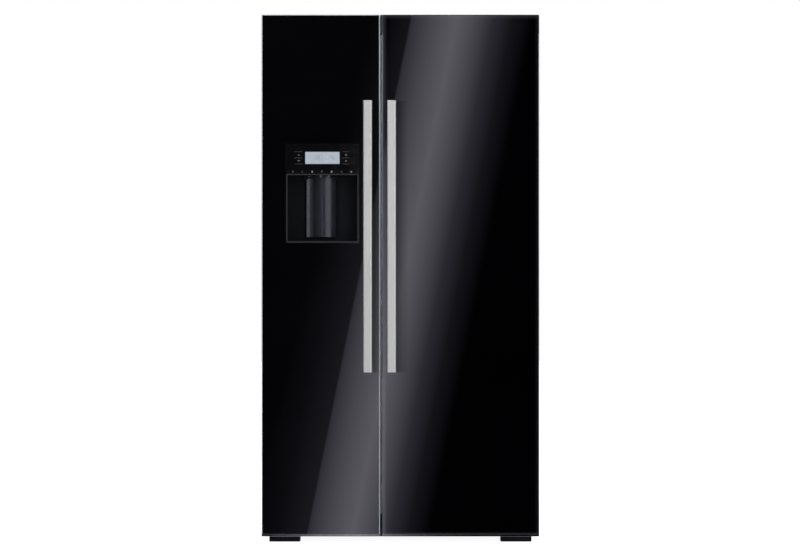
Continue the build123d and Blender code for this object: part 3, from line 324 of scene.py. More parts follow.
def clear_plastic():
    """Clear moulding with a cool tint and slight flow marks."""
    material, tree, shader = new_material("clear_plastic", (0.86, 0.91, 0.94), 0.08)
    shader.inputs["Transmission Weight"].default_value = 0.9
    shader.inputs["IOR"].default_value = 1.46
    flow = noise(tree, 14.0, 2.0, (1.0, 1.0, 0.3))
    vary_colour(tree, shader, flow, (0.82, 0.88, 0.92), (0.9, 0.94, 0.96))
    vary_roughness(tree, shader, flow, 0.05, 0.14)
    add_bump(tree, shader, flow, 0.05, 0.002)
    return material


def shelf_glass():
    """Clear glass with a green cast at its edges."""
    material, tree, shader = new_material("shelf_glass", (0.82, 0.93, 0.9), 0.02)
    shader.inputs["Transmission Weight"].default_value = 0.95
    shader.inputs["IOR"].default_value = 1.5
    haze = noise(tree, 5.0)
    vary_colour(tree, shader, haze, (0.78, 0.9, 0.87), (0.86, 0.95, 0.92))
    vary_roughness(tree, shader, haze, 0.01, 0.05)
    return material


def liquid_crystal():
    """Pale display with the fine lines of its cells."""
    material, tree, shader = new_material("liquid_crystal", (0.36, 0.43, 0.48), 0.25)
    place = tree.nodes.new("ShaderNodeTexCoord")
    lines = tree.nodes.new("ShaderNodeTexWave")
    lines.bands_direction = "X"
    lines.inputs["Scale"].default_value = 260.0
    tree.links.new(place.outputs["Object"], lines.inputs["Vector"])
    vary_colour(tree, shader, lines.outputs["Fac"], (0.37, 0.42, 0.48), (0.44, 0.49, 0.55))
    vary_roughness(tree, shader, noise(tree, 60.0), 0.18, 0.3)
    return material


def lamp_lens():
    """Opal lens with small prisms."""
    material, tree, shader = new_material("lamp_lens", (0.9, 0.91, 0.93), 0.3)
    vary_colour(tree, shader, noise(tree, 20.0), (0.85, 0.87, 0.9), (0.92, 0.93, 0.95))
    place = tree.nodes.new("ShaderNodeTexCoord")
    prisms = tree.nodes.new("ShaderNodeTexWave")
    prisms.inputs["Scale"].default_value = 90.0
    tree.links.new(place.outputs["Object"], prisms.inputs["Vector"])
    add_bump(tree, shader, prisms.outputs["Fac"], 0.4, 0.001)
    return material


def insulation_foam():
    """Hard yellowish foam with open cells."""
    material, tree, shader = new_material("insulation_foam", (0.78, 0.68, 0.42), 0.9)
    cells = noise(tree, 350.0, 4.0)
    vary_colour(tree, shader, cells, (0.66, 0.55, 0.3), (0.8, 0.71, 0.46))
    add_bump(tree, shader, cells, 0.5, 0.001)
    return material


materials = {
    "door_glass": black_glass("black_glass", (0.0011, 0.0011, 0.0016), (0.0017, 0.0017, 0.0023)),
    "edge_metal": edge_metal("edge_metal"),
    "handle_metal": brushed_metal("handle_metal", (0.498, 0.504, 0.498), (0.553, 0.559, 0.553), 0.42, 0.92),
    "cabinet_paint": painted_sheet("cabinet_paint", (0.026, 0.026, 0.028), (0.034, 0.034, 0.036), 0.35),
    "zinc_sheet": zinc_sheet(),
    "base_steel": painted_sheet("base_steel", (0.012, 0.012, 0.013), (0.018, 0.018, 0.019), 0.45),
    "hinge_steel": brushed_metal("hinge_steel", (0.4, 0.4, 0.41), (0.52, 0.52, 0.53), 0.35, 0.95),
    "strip_metal": strip_metal(),
    "white_liner": moulded_plastic("white_liner", (0.72, 0.73, 0.745), (0.77, 0.78, 0.79), 0.35),
    "dark_cap": moulded_plastic("dark_cap", (0.015, 0.015, 0.016), (0.022, 0.022, 0.023), 0.5),
    "black_plastic": moulded_plastic("black_plastic", (0.002, 0.0023, 0.0038), (0.0034, 0.0038, 0.006), 0.5,
                                     specular=0.12, gloss=COOL),
    "gloss_black": moulded_plastic("gloss_black", (0.0025, 0.0025, 0.003), (0.004, 0.004, 0.0045), 0.06,
                                   relief=0.004, specular=0.22),
    "smoke_plastic": smoke_plastic("smoke_plastic"),
    "display_lens": liquid_crystal(),
    "clear_plastic": clear_plastic(),
    "shelf_glass": shelf_glass(),
    "lamp_lens": lamp_lens(),
    "seal_rubber": moulded_plastic("seal_rubber", (0.14, 0.14, 0.145), (0.2, 0.2, 0.205), 0.6),
    "foam": insulation_foam(),
    "coil_metal": brushed_metal("coil_metal", (0.48, 0.49, 0.5), (0.6, 0.61, 0.62), 0.35, 0.9),
    "pot_paint": painted_sheet("pot_paint", (0.01, 0.01, 0.011), (0.016, 0.016, 0.017), 0.3),
    "grey_plastic": moulded_plastic("grey_plastic", (0.44, 0.45, 0.46), (0.52, 0.53, 0.54), 0.4),
}
ring_metal = brushed_metal("ring_metal", (0.016, 0.016, 0.019), (0.023, 0.023, 0.026), 0.45, 0.6)
pale_print = panel_print("pale_print", (0.16, 0.165, 0.17), (0.2, 0.205, 0.21))
dim_print = panel_print("dim_print", (0.035, 0.036, 0.038), (0.045, 0.046, 0.048))
line_print = panel_print("line_print", (0.02, 0.02, 0.021), (0.028, 0.028, 0.029))
key_print = panel_print("key_print", (0.07, 0.071, 0.074), (0.09, 0.091, 0.094))
sill_metal = polished_metal("sill_metal", (0.076, 0.076, 0.08), (0.086, 0.086, 0.09), 0.1)
# Plastic of the hinge covers, paler than the dark caps: partly its own grey-blue, partly painted light for
# the top of the gap between the doors.
gap_lit_cover_plastic = moulded_plastic("gap_lit_cover_plastic", (0.03, 0.034, 0.042), (0.04, 0.045, 0.054), 0.5)
cap_plastic = moulded_plastic("cap_plastic", (0.012, 0.014, 0.018), (0.016, 0.018, 0.023), 0.5,
                              specular=0.3)
digit_print = panel_print("digit_print", (0.2, 0.25, 0.29), (0.25, 0.3, 0.34), 0.4)


# Finish of the CAD nodes

def dress_nodes():
    """Give each CAD node the material of its slot."""
    for row in frame["record"]["subparts"]:
        piece = frame["nodes"][row["node"]]
        piece.data.materials.clear()
        piece.data.materials.append(materials[row["material_slot"]])
    special = {
        "fridge_door_glass": rim_highlight_glass("fridge_door_glass"),
        "fridge_door_frame": edge_metal_painted_shade(),
        "dispenser_paddle": paddle_painted_light("dispenser_paddle"),
        "hinge_covers": gap_lit_cover_plastic,
    }
    for node, material in special.items():
        frame["nodes"][node].data.materials[0] = material


def round_edges(piece, width):
    """Round the sharp edges of a piece, and keep its flat faces flat in the light."""
    bevel = piece.modifiers.new("round", "BEVEL")
    bevel.width = width * MM
    bevel.segments = 2
    bevel.limit_method = "ANGLE"
    bevel.angle_limit = math.radians(40)
    piece.modifiers.new("shade", "WEIGHTED_NORMAL")


def soften(node, width):
    """Join the shell of a node and round its edges a little."""
    piece = frame["nodes"][node]
    weld = piece.modifiers.new("join", "WELD")
    weld.merge_threshold = 0.00001
    round_edges(piece, width)


dress_nodes()


# Mesh helpers for the added pieces, with lengths in millimetres

def put_box(mesh, x, y, z):
    """A box from its limits."""
    corners = [mesh.verts.new((px * MM, py * MM, pz * MM)) for pz in z for py in y for px in x]
    for face in ((0, 2, 3, 1), (4, 5, 7, 6), (0, 1, 5, 4), (2, 6, 7, 3), (0, 4, 6, 2), (1, 3, 7, 5)):
        mesh.faces.new([corners[index] for index in face])


def put_prism(mesh, outline, place, depth):
    """An outline drawn out along one axis. place turns a point and a depth into X, Y and Z."""
    ends = []
    for level in depth:
        ends.append([mesh.verts.new(Vector(place(point, level)) * MM) for point in outline])
    near, far = ends
    mesh.faces.new(near)
    mesh.faces.new(far[::-1])
    for index in range(len(outline)):
        after = (index + 1) % len(outline)
        mesh.faces.new((near[after], near[index], far[index], far[after]))


def along_x(point, x):
    """Place for an outline of Y and Z that is drawn out along X."""
    return (x, point[0], point[1])


def along_y(point, y):
    """Place for an outline of X and Z that is drawn out along Y."""
    return (point[0], y, point[1])


def along_z(point, z):
    """Place for an outline of X and Y that is drawn out along Z."""
    return (point[0], point[1], z)


def round_outline(middle, radius, steps=16):
    """A circle, as points."""
    turns = [2 * math.pi * step / steps for step in range(steps)]
    return [(middle[0] + radius * math.cos(turn), middle[1] + radius * math.sin(turn)) for turn in turns]


def rounded_rectangle(x, y, radius, steps=5):
    """A rectangle with round corners, as points."""
    points = []
    left, right = x[0] + radius, x[1] - radius
    low, high = y[0] + radius, y[1] - radius
    middles = ((right, high), (left, high), (left, low), (right, low))
    for corner, (middle_x, middle_y) in enumerate(middles):
        for step in range(steps + 1):
            angle = math.radians(90 * corner + 90 * step / steps)
            points.append((middle_x + radius * math.cos(angle), middle_y + radius * math.sin(angle)))
    return points


def put_loop(mesh, outline, y):
    """The points of an outline at one depth, as vertices."""
    return [mesh.verts.new(Vector(along_y(point, y)) * MM) for point in outline]


def bridge(mesh, first, second):
    """Faces between two loops of as many points."""
    for index in range(len(first)):
        after = (index + 1) % len(first)
        mesh.faces.new((first[index], first[after], second[after], second[index]))


def put_ring(mesh, x, z, radius, profile):
    """A frame with round corners. profile gives each point's way in from the outside and its Y."""
    loops = []
    for inset, y in profile:
        corner = max(radius - inset, 0.5)
        outline = rounded_rectangle((x[0] + inset, x[1] - inset), (z[0] + inset, z[1] - inset), corner)
        loops.append(put_loop(mesh, outline, y))
    for first, second in zip(loops, loops[1:] + loops[:1]):
        bridge(mesh, first, second)


def finish_piece(name, mesh, body, material, bevel=0.0):
    """Turn a mesh under construction into a piece that rides on a body."""
    bmesh.ops.recalc_face_normals(mesh, faces=mesh.faces)
    data = bpy.data.meshes.new(name)
    mesh.to_mesh(data)
    mesh.free()
    piece = bpy.data.objects.new(name, data)
    bpy.context.scene.collection.objects.link(piece)
    data.materials.append(material)
    if bevel:
        round_edges(piece, bevel)
    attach(piece, body)
    return piece


# Pieces of the front, in millimetres

FRONT = -337.5
SIDE = 455.0
DOOR_GAP = (-67.0, -60.0)
DOOR_TOP = 1730.0
DISPENSER = (-376.0, -135.0)
NICHE = (981.0, 1210.0)
DISPLAY_Z = 1260.4
DISPENSER_X = -255.5
KEY_OFFSET = 77.5
KEY_HALF_PITCH = 9.8


def handle_ends(side, node):
    """Bright sleeves over the two ends of a handle's bar."""
    low, high = [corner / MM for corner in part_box(node)]
    thickness = 15.0
    band = 11.0
    proud = 0.4
    set_back = 0.1
    radius = 5.0 + proud
    metal = materials["handle_metal"]
    mesh = bmesh.new()
    depth = (low.y + set_back, low.y + thickness + proud)
    outline = rounded_rectangle((low.x - proud, high.x + proud), depth, radius, 10)
    for bottom in (low.z, high.z - band):
        put_prism(mesh, outline, along_z, (bottom, bottom + band))
    finish_piece(f"{side}_handle_ends", mesh, f"{side}_door", metal, 0.4)


def niche_ring():
    """Grey trim on the frame round the niche."""
    width = 6.0
    side_width = 4.2
    top_width = 4.0
    proud = 0.5
    y = (FRONT - proud, FRONT)
    mesh = bmesh.new()
    inner_x = (DISPENSER[0] + width, DISPENSER[1] - width)
    inner_z = (NICHE[0] + width, NICHE[1] - width)
    outer_x = (inner_x[0] - side_width, inner_x[1] + side_width)
    outer = rounded_rectangle(outer_x, (inner_z[0] - side_width, inner_z[1] + top_width), 4.0)
    inner = rounded_rectangle(inner_x, inner_z, 1.0)
    sides = ((outer, y[1]), (outer, y[0]), (inner, y[0]), (inner, y[1]))
    loops = [put_loop(mesh, outline, level) for outline, level in sides]
    for first, second in zip(loops, loops[1:] + loops[:1]):
        bridge(mesh, first, second)
    finish_piece("niche_ring", mesh, "freezer_door", ring_metal, 0.2)


def niche_spouts():
    """Water spout and ice guide tip that hang from the niche's ceiling."""
    y = -324.0
    tip, step, ceiling = 1196.5, 1199.0, 1207.0
    mesh = bmesh.new()
    for x in (-261.0, -234.0):
        for radius, z in ((4.2, (step, ceiling)), (2.6, (tip, step))):
            put_prism(mesh, round_outline((x, y), radius, 20), along_z, z)
    finish_piece("niche_spouts", mesh, "freezer_door", key_print, 0.6)


def display_frame():
    """Dark mask round the display, inside its window."""
    low, high = [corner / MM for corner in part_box("display_window")]
    over = 0.15
    width = 1.4
    proud = 0.2
    y = (low.y - proud, low.y)
    mesh = bmesh.new()
    profile = [(0.0, y[1]), (0.0, y[0]), (width, y[0]), (width, y[1])]
    put_ring(mesh, (low.x - over, high.x + over), (low.z - over, high.z + over), 0.5, profile)
    finish_piece("display_frame", mesh, "freezer_door", materials["gloss_black"], 0.05)


def fascia_bead():
    """Black bead in the gap between the dispenser's fascia and the glass."""
    low, high = [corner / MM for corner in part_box("dispenser_fascia")]
    reach = 0.36
    width = 0.32
    y = (low.y + 0.8, high.y - 0.2)
    mesh = bmesh.new()
    profile = [(0.0, y[1]), (0.0, y[0]), (width, y[0]), (width, y[1])]
    put_ring(mesh, (low.x - reach, high.x + reach), (low.z - reach, high.z + reach), 0.5, profile)
    finish_piece("fascia_bead", mesh, "freezer_door", materials["black_plastic"], 0.05)


def bottom_trim(side, x):
    """Polished metal strip along the lower edge of a door's front."""
    proud = 0.3
    margin = 0.5
    low, high = 20.3, 28.0
    outline = [(FRONT, low), (FRONT - proud, low + proud), (FRONT - proud, high - proud), (FRONT, high)]
    mesh = bmesh.new()
    put_prism(mesh, outline, along_x, (x[0] + margin, x[1] - margin))
    finish_piece(f"{side}_bottom_trim", mesh, f"{side}_door", sill_metal, 0.1)


def edge_cap():
    """Dark cap at the top of the fridge door's inner edge, which closes the gap between the doors there."""
    x = (DOOR_GAP[0] + 1.0, DOOR_GAP[1] + 0.1)
    depth = (FRONT + 3.0, FRONT + 12.0)
    outline = rounded_rectangle(x, depth, 1.2, 4)
    mesh = bmesh.new()
    put_prism(mesh, outline, along_z, (DOOR_TOP - 62.0, DOOR_TOP - 0.6))
    finish_piece("edge_cap", mesh, "fridge_door", cap_plastic, 0.4)


SEGMENTS = {
    "-": "g",
    "1": "bc",
    "4": "bcfg",
    "8": "abcdefg",
}


def put_digit(mesh, digit, x, z, size, y):
    """A digit of seven bars, from its lower left corner."""
    bar = size * 0.14
    wide = size * 0.55
    places = {
        "a": ((bar, wide - bar), (size - bar, size)),
        "b": ((wide - bar, wide), (size / 2, size - bar)),
        "c": ((wide - bar, wide), (bar, size / 2)),
        "d": ((bar, wide - bar), (0, bar)),
        "e": ((0, bar), (bar, size / 2)),
        "f": ((0, bar), (size / 2, size - bar)),
        "g": ((bar, wide - bar), (size / 2 - bar / 2, size / 2 + bar / 2)),
    }
    gap = 0.25
    for name in SEGMENTS[digit]:
        (x0, x1), (z0, z1) = places[name]
        put_box(mesh, (x + x0 + gap, x + x1 - gap), y, (z + z0 + gap, z + z1 - gap))


def display_digits():
    """The two temperatures on the display, in low contrast."""
    y = (FRONT + 0.3, FRONT + 0.5)
    size = 19.0
    pitch = 14.0
    foot = DISPLAY_Z - size / 2
    half_line = 15.0
    mesh = bmesh.new()
    for index, digit in enumerate("-18"):
        put_digit(mesh, digit, DISPENSER_X - 47.0 + index * pitch, foot, size, y)
    put_digit(mesh, "4", DISPENSER_X + 26.0, foot, size, y)
    line = (DISPENSER_X - 2.0, DISPENSER_X - 1.2)
    put_box(mesh, line, y, (DISPLAY_Z - half_line, DISPLAY_Z + half_line))
    finish_piece("display_digits", mesh, "freezer_door", digit_print, 0.05)


def key_outline(index):
    """A plain mark for a key: up or down arrow, disc or bar, round its middle."""
    arrow = [(-4.0, -2.2), (4.0, -2.2), (0.0, 2.8)]
    marks = (
        arrow,
        [(x * 1.5, -z) for x, z in arrow[::-1]],
        round_outline((0.0, 0.0), 3.2),
        rounded_rectangle((-3.6, 3.6), (-2.0, 2.0), 1.6),
    )
    return marks[index]


def key_marks():
    """One mark on each key, which moves with the key."""
    places = [(x_side, z_side) for x_side in (-1, 1) for z_side in (1, -1)]
    for index, (x_side, z_side) in enumerate(places):
        x = DISPENSER_X + x_side * KEY_OFFSET
        z = DISPLAY_Z + z_side * KEY_HALF_PITCH
        mesh = bmesh.new()
        outline = [(x + px, z + pz) for px, pz in key_outline(index)]
        put_prism(mesh, outline, along_y, (FRONT - 0.12, FRONT))
        body = f"control_key_{index + 1}"
        finish_piece(f"key_mark_{index + 1}", mesh, body, key_print, 0.04)


def panel_lines():
    """Thin lines above, between and below the keys."""
    half = 0.7
    mesh = bmesh.new()
    for x in ((-347.0, -321.0), (-190.0, -167.0)):
        for z in (1280.6, 1260.4, 1240.4):
            put_box(mesh, x, (FRONT - 0.1, FRONT), (z - half, z + half))
    finish_piece("panel_lines", mesh, "freezer_door", line_print, 0.04)


def icon_outlines(kind):
    """Plain marks for the row under the display: cube, crumbs, drop, lamp, bars, dot and block."""
    half_drop = [(2.2, 0.6), (2.6, -1.2), (1.6, -3.2)]
    drop = [(0.0, 4.0), *half_drop, (0.0, -3.8), *((-x, z) for x, z in half_drop[::-1])]
    shapes = {
        "cube": [rounded_rectangle((-2.4, 2.4), (-2.4, 2.4), 0.6)],
        "crumbs": [round_outline((x, z), 1.3, 10) for x, z in ((-1.8, -1.4), (1.8, -1.4), (0.0, 1.8))],
        "drop": [drop],
        "lamp": [round_outline((0.0, 0.8), 2.6), rounded_rectangle((-1.2, 1.2), (-3.6, -2.2), 0.4)],
        "bars": [rounded_rectangle((-3.0, 3.0), (z - 0.75, z + 0.75), 0.5) for z in (-2.1, 0.0, 2.1)],
        "dot": [round_outline((0.0, 0.0), 2.4)],
        "block": [rounded_rectangle((-2.5, 2.5), (-2.6, 2.6), 0.8)],
    }
    return shapes[kind]


def panel_icons():
    """The row of plain marks under the display, in two brightnesses."""
    z = 1215.2
    rows = {
        "pale_icons": (pale_print, (("drop", -289.0), ("bars", -225.3), ("block", -161.0))),
        "dim_icons": (dim_print, (("cube", -352.3), ("crumbs", -321.8), ("lamp", -257.2), ("dot", -192.9))),
    }
    for name, (material, icons) in rows.items():
        mesh = bmesh.new()
        for kind, x in icons:
            for outline in icon_outlines(kind):
                put_prism(mesh, [(x + px, z + pz) for px, pz in outline], along_y, (FRONT - 0.1, FRONT))
        finish_piece(name, mesh, "freezer_door", material, 0.04)


def front_pieces():
    """All the small pieces that the photograph shows on the doors."""
    handle_ends("freezer", "freezer_handle")
    handle_ends("fridge", "fridge_handle")
    niche_ring()
    niche_spouts()
    display_frame()
    fascia_bead()
    display_digits()
    key_marks()
    panel_lines()
    panel_icons()
    bottom_trim("freezer", (-SIDE, DOOR_GAP[0]))
    bottom_trim("fridge", (DOOR_GAP[1], SIDE))
    edge_cap()


# Pieces inside and behind, in millimetres. The two compartments are given by their limits in X.

FREEZER = (-405.0, -108.5)
FRIDGE = (-18.5, 405.0)
SHELF_FRONT = -140.0
DOOR_BACK = -267.5
BACK = 382.5


def even_levels(low, high, count):
    """Heights spaced evenly from the lowest to the highest."""
    return [low + (high - low) * step / (count - 1) for step in range(count)]


def shelf_trims():
    """Clip along the front edge of each glass shelf."""
    mesh = bmesh.new()
    y = SHELF_FRONT
    clip = [(y + 8, -2.5), (y + 8, -0.15), (y - 0.2, -0.15), (y - 0.2, 4.15), (y + 8, 4.15), (y + 8, 6.5),
            (y - 4, 6.5), (y - 4, -2.5)]
    rows = ((FREEZER, even_levels(410.0, 1330.0, 5)), (FRIDGE, even_levels(410.0, 1385.0, 5)))
    for cavity, levels in rows:
        for level in levels:
            outline = [(py, level + pz) for py, pz in clip]
            put_prism(mesh, outline, along_x, (cavity[0] + 7, cavity[1] - 7))
    finish_piece("shelf_trims", mesh, "cabinet", materials["grey_plastic"], 0.8)


def bin_rims(side, x, bins):
    """Rolled rim over the front wall of each door bin. bins gives the top and the depth of each."""
    mesh = bmesh.new()
    wall = 2.5
    for top, depth in bins:
        y = DOOR_BACK + depth
        outline = [(y - wall - 1.8, top - 6), (y - wall - 0.1, top - 6), (y - wall - 0.1, top + 0.1),
                   (y + 0.1, top + 0.1), (y + 0.1, top - 6), (y + 0.7, top - 6), (y + 0.7, top + 1.6),
                   (y - wall - 1.8, top + 1.6)]
        put_prism(mesh, outline, along_x, (x[0] + 0.5, x[1] - 0.5))
    finish_piece(f"{side}_bin_rims", mesh, f"{side}_door", materials["grey_plastic"], 0.5)


def drawer_trim(name, cavity, top):
    """Moulded strip under a drawer's grip slot."""
    front = -125.0
    mesh = bmesh.new()
    outline = [(front, top - 36), (front, top - 24), (front - 1.4, top - 24), (front - 3.4, top - 28),
               (front - 3.4, top - 33), (front - 2.0, top - 36)]
    put_prism(mesh, outline, along_x, (cavity[0] + 6, cavity[1] - 6))
    finish_piece(f"{name}_trim", mesh, name, materials["grey_plastic"], 0.6)


def drawer_trims():
    """The strips of the four drawers."""
    for kind, cavity in (("freezer", FREEZER), ("crisper", FRIDGE)):
        for place, top in (("lower", 246.3), ("upper", 401.7)):
            drawer = f"{kind}_drawer_{place}"
            drawer_trim(drawer, cavity, top)


def put_screw(mesh, x, z, y, height):
    """Low domed screw head that faces the rear, with a sunk middle."""
    radius = 4.2
    rings = ((radius, 0.0), (radius, 0.45), (radius * 0.75, 0.9), (radius * 0.4, 1.0), (radius * 0.3, 0.5))
    steps = 14
    loops = [put_loop(mesh, round_outline((x, z), size, steps), y + lift * height) for size, lift in rings]
    for first, second in zip(loops, loops[1:]):
        bridge(mesh, first, second)
    mesh.faces.new(loops[0])
    mesh.faces.new(loops[-1])


def rear_screws():
    """Screws round the back panel and the machine bay's cover."""
    mesh = bmesh.new()
    sheet, sheet_head = BACK - 1.3, 1.2
    cover, cover_head = 364.5, 2.2
    top = 1688.0
    for z in even_levels(330.0, 1680.0, 6):
        for x in (-443.0, 443.0):
            put_screw(mesh, x, z, sheet, sheet_head)
    for x in even_levels(-300.0, 300.0, 4):
        put_screw(mesh, x, top, sheet, sheet_head)
    for x in (-440.0, -150.0, 150.0, 440.0):
        for z in (72.0, 288.0):
            put_screw(mesh, x, z, cover, cover_head)
    finish_piece("rear_screws", mesh, "cabinet", materials["hinge_steel"])


def inside_field(value, fields, edge):
    """Whether a place lies on the raised part of one of the fields."""
    return any(low + edge <= value <= high - edge for low, high in fields)


def field_lines(low, high, fields, edge):
    """Places of a sheet's two limits and of both ends of each slope round its fields."""
    lines = {low, high}
    for start, end in fields:
        lines.update((start, start + edge, end - edge, end))
    return sorted(lines)


def pressed_back():
    """Back sheet with raised fields, which stands for the flat CAD sheet."""
    low, high = [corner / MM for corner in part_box("back_panel")]
    edge = 1.6
    sunk = 1.4
    border = 24.0
    half_gap = 8.0
    field = 326.0
    columns = ((low.x + border, -half_gap), (half_gap, high.x - border))
    rows = tuple((start, start + field) for start in even_levels(330.0, 1350.0, 4))
    xs = field_lines(low.x, high.x, columns, edge)
    zs = field_lines(low.z, high.z, rows, edge)
    mesh = bmesh.new()
    grid = []
    for z in zs:
        line = []
        for x in xs:
            raised = inside_field(x, columns, edge) and inside_field(z, rows, edge)
            y = BACK if raised else BACK - sunk
            line.append(mesh.verts.new((x * MM, y * MM, z * MM)))
        grid.append(line)
    for lower, upper in zip(grid, grid[1:]):
        for index in range(len(xs) - 1):
            mesh.faces.new((lower[index + 1], lower[index], upper[index], upper[index + 1]))
    rim = [edge_piece for edge_piece in mesh.edges if edge_piece.is_boundary]
    grown = bmesh.ops.extrude_edge_only(mesh, edges=rim)["geom"]
    for item in grown:
        if isinstance(item, bmesh.types.BMVert):
            item.co.y = low.y * MM
    bmesh.ops.holes_fill(mesh, edges=[item for item in mesh.edges if item.is_boundary])
    sheet = finish_piece("pressed_back", mesh, "cabinet", materials["zinc_sheet"], 0.8)
    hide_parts("back_panel")


def door_seal(side):
    """Rubber seal of a door: a foot, two folds, the flat magnet face and a lip inwards."""
    node = f"{side}_door_gasket"
    low, high = [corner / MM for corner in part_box(node)]
    foot, face = low.y, high.y
    profile = [
        (2.0, foot), (2.0, foot + 2.2), (0.2, foot + 4.4), (2.6, foot + 6.4),
        (0.4, face - 2.4), (0.4, face - 0.8), (1.2, face), (11.8, face), (12.6, face - 0.8),
        (12.6, face - 2.6), (10.4, foot + 6.4), (12.6, foot + 4.6), (15.8, foot + 5.4), (15.9, foot + 4.7),
        (12.8, foot + 2.0), (12.8, foot),
    ]
    rubber = materials["seal_rubber"]
    mesh = bmesh.new()
    put_ring(mesh, (low.x, high.x), (low.z, high.z), 4.0, profile)
    seal = finish_piece(f"{side}_door_seal", mesh, f"{side}_door", rubber, 0.2)
    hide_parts(node)


def chute_seal():
    """Soft collar round the mouth of the ice chute, on the freezer door's inner panel."""
    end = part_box("dispenser_housing")[1] / MM
    mouth = 60.0
    edge = 6.0
    wall = 2.0
    x = (DISPENSER_X - mouth / 2 - edge, DISPENSER_X + mouth / 2 + edge)
    z = (end.z - mouth - edge, end.z + edge)
    across = edge + wall
    profile = [
        (0.0, end.y), (0.6, end.y + 1.2),
        (across - 2.6, end.y + 2.4), (across - 0.4, end.y + 1.6), (across, end.y),
    ]
    mesh = bmesh.new()
    put_ring(mesh, x, z, 7.0, profile)
    finish_piece("chute_seal", mesh, "freezer_door", materials["seal_rubber"], 0.2)


def inner_pieces():
    """All the small pieces that show with the doors open or from behind."""
    door_seal("freezer")
    door_seal("fridge")
    chute_seal()
    shelf_trims()
    shallow, deep = 80.0, 100.0
    low_bins = ((260.0, shallow), (505.0, shallow), (750.0, deep))
    bin_rims("freezer", (-368.7, -144.8), (*low_bins, (1605.0, deep)))
    bin_rims("fridge", (17.8, 368.7), (*low_bins, (995.0, deep), (1240.0, deep)))
    drawer_trims()
    rear_screws()
    pressed_back()


def soften_nodes():
    """Small round edges on the CAD nodes that show."""
    widths = {
        "freezer_door_frame": 0.4,
        "fridge_door_frame": 0.8,
        "foot_covers": 0.4,
        "hinge_covers": 1.5,
        "cabinet_shell": 1.0,
        "dispenser_fascia": 0.2,
        "dispenser_paddle": 0.5,
        "dispenser_housing": 0.6,
        "dispenser_grille": 0.4,
        "freezer_door_bins": 0.6,
        "fridge_door_bins": 0.6,
        "freezer_drawer_lower": 0.8,
        "freezer_drawer_upper": 0.8,
        "crisper_drawer_lower": 0.8,
        "crisper_drawer_upper": 0.8,
        "freezer_liner": 1.0,
        "fridge_liner": 1.0,
        "machine_cover": 0.4,
        "ice_maker": 2.0,
        "ice_bin": 0.8,
        "light_covers": 2.0,
        "mullion_strip": 0.5,
        "air_duct": 0.8,
    }
    for node, width in widths.items():
        soften(node, width)


front_pieces()
inner_pieces()
soften_nodes()


# Studio

FLOOR_LIFT = 0.9
WORLD_LIGHT = 0.66
SCREEN_DISTANCE = 11.0


def stage_plane(name, corners, material):
    """A flat piece of the studio from its corners."""
    mesh = bpy.data.meshes.new(name)
    mesh.from_pydata(corners, [], [tuple(range(len(corners)))])
    plane = bpy.data.objects.new(name, mesh)
    bpy.context.scene.collection.objects.link(plane)
    plane.data.materials.append(material)
    return plane


def only_in_reflections(piece):
    """A studio piece that shows in gloss alone and neither lights nor hides anything."""
    piece.visible_camera = False
    piece.visible_diffuse = False
    piece.visible_transmission = False
    piece.visible_shadow = False


def bare_material(name):
    """A material with nothing but its output, returned with its tree and the output's surface."""
    material = bpy.data.materials.new(name)
    material.use_nodes = True
    tree = material.node_tree
    tree.nodes.clear()
    output = tree.nodes.new("ShaderNodeOutputMaterial")
    return material, tree, output.inputs["Surface"]


def floor_material():
    """White floor that keeps the appliance's shadow: a plain diffuse surface, lifted for the camera."""
    material, tree, shown = bare_material("studio_floor")
    surface = tree.nodes.new("ShaderNodeBsdfDiffuse")
    surface.inputs["Color"].default_value = (0.82, 0.82, 0.82, 1.0)
    lift = tree.nodes.new("ShaderNodeEmission")
    rays = tree.nodes.new("ShaderNodeLightPath")
    strength = tree.nodes.new("ShaderNodeMath")
    strength.operation = "MULTIPLY"
    strength.inputs[1].default_value = FLOOR_LIFT
    total = tree.nodes.new("ShaderNodeAddShader")
    tree.links.new(rays.outputs["Is Camera Ray"], strength.inputs[0])
    tree.links.new(strength.outputs["Value"], lift.inputs["Strength"])
    tree.links.new(surface.outputs["BSDF"], total.inputs[0])
    tree.links.new(lift.outputs["Emission"], total.inputs[1])
    tree.links.new(total.outputs["Shader"], shown)
    return material


def white_world():
    """White all round for the eye and in reflections, softer as a light."""
    world = bpy.data.worlds.new("studio")
    bpy.context.scene.world = world
    world.use_nodes = True
    tree = world.node_tree
    background = tree.nodes["Background"]
    rays = tree.nodes.new("ShaderNodeLightPath")
    seen = rays.outputs["Is Camera Ray"]
    for name in ("Is Glossy Ray", "Is Transmission Ray"):
        larger = tree.nodes.new("ShaderNodeMath")
        larger.operation = "MAXIMUM"
        tree.links.new(seen, larger.inputs[0])
        tree.links.new(rays.outputs[name], larger.inputs[1])
        seen = larger.outputs["Value"]
    strength = tree.nodes.new("ShaderNodeMapRange")
    strength.inputs["To Min"].default_value = WORLD_LIGHT
    strength.inputs["To Max"].default_value = 1.0
    tree.links.new(seen, strength.inputs["Value"])
    tree.links.new(strength.outputs["Result"], background.inputs["Strength"])
    background.inputs["Color"].default_value = (1.0, 1.0, 1.0, 1.0)


def plain_emission(name, strength):
    """A plain glow of one strength."""
    material, tree, shown = bare_material(name)
    glow = tree.nodes.new("ShaderNodeEmission")
    glow.inputs["Strength"].default_value = strength
    tree.links.new(glow.outputs["Emission"], shown)
    return material


def dark_screen():
    """Dark end of the studio, behind the camera, which the black glass mirrors."""
    y = door_front - SCREEN_DISTANCE
    left, right = -4.4, 2.6
    low, high = -3.0, 5.0
    corners = [(left, y, low), (right, y, low), (right, y, high), (left, y, high)]
    material = plain_emission("dark_screen", 0.0)
    only_in_reflections(stage_plane("dark_screen", corners, material))


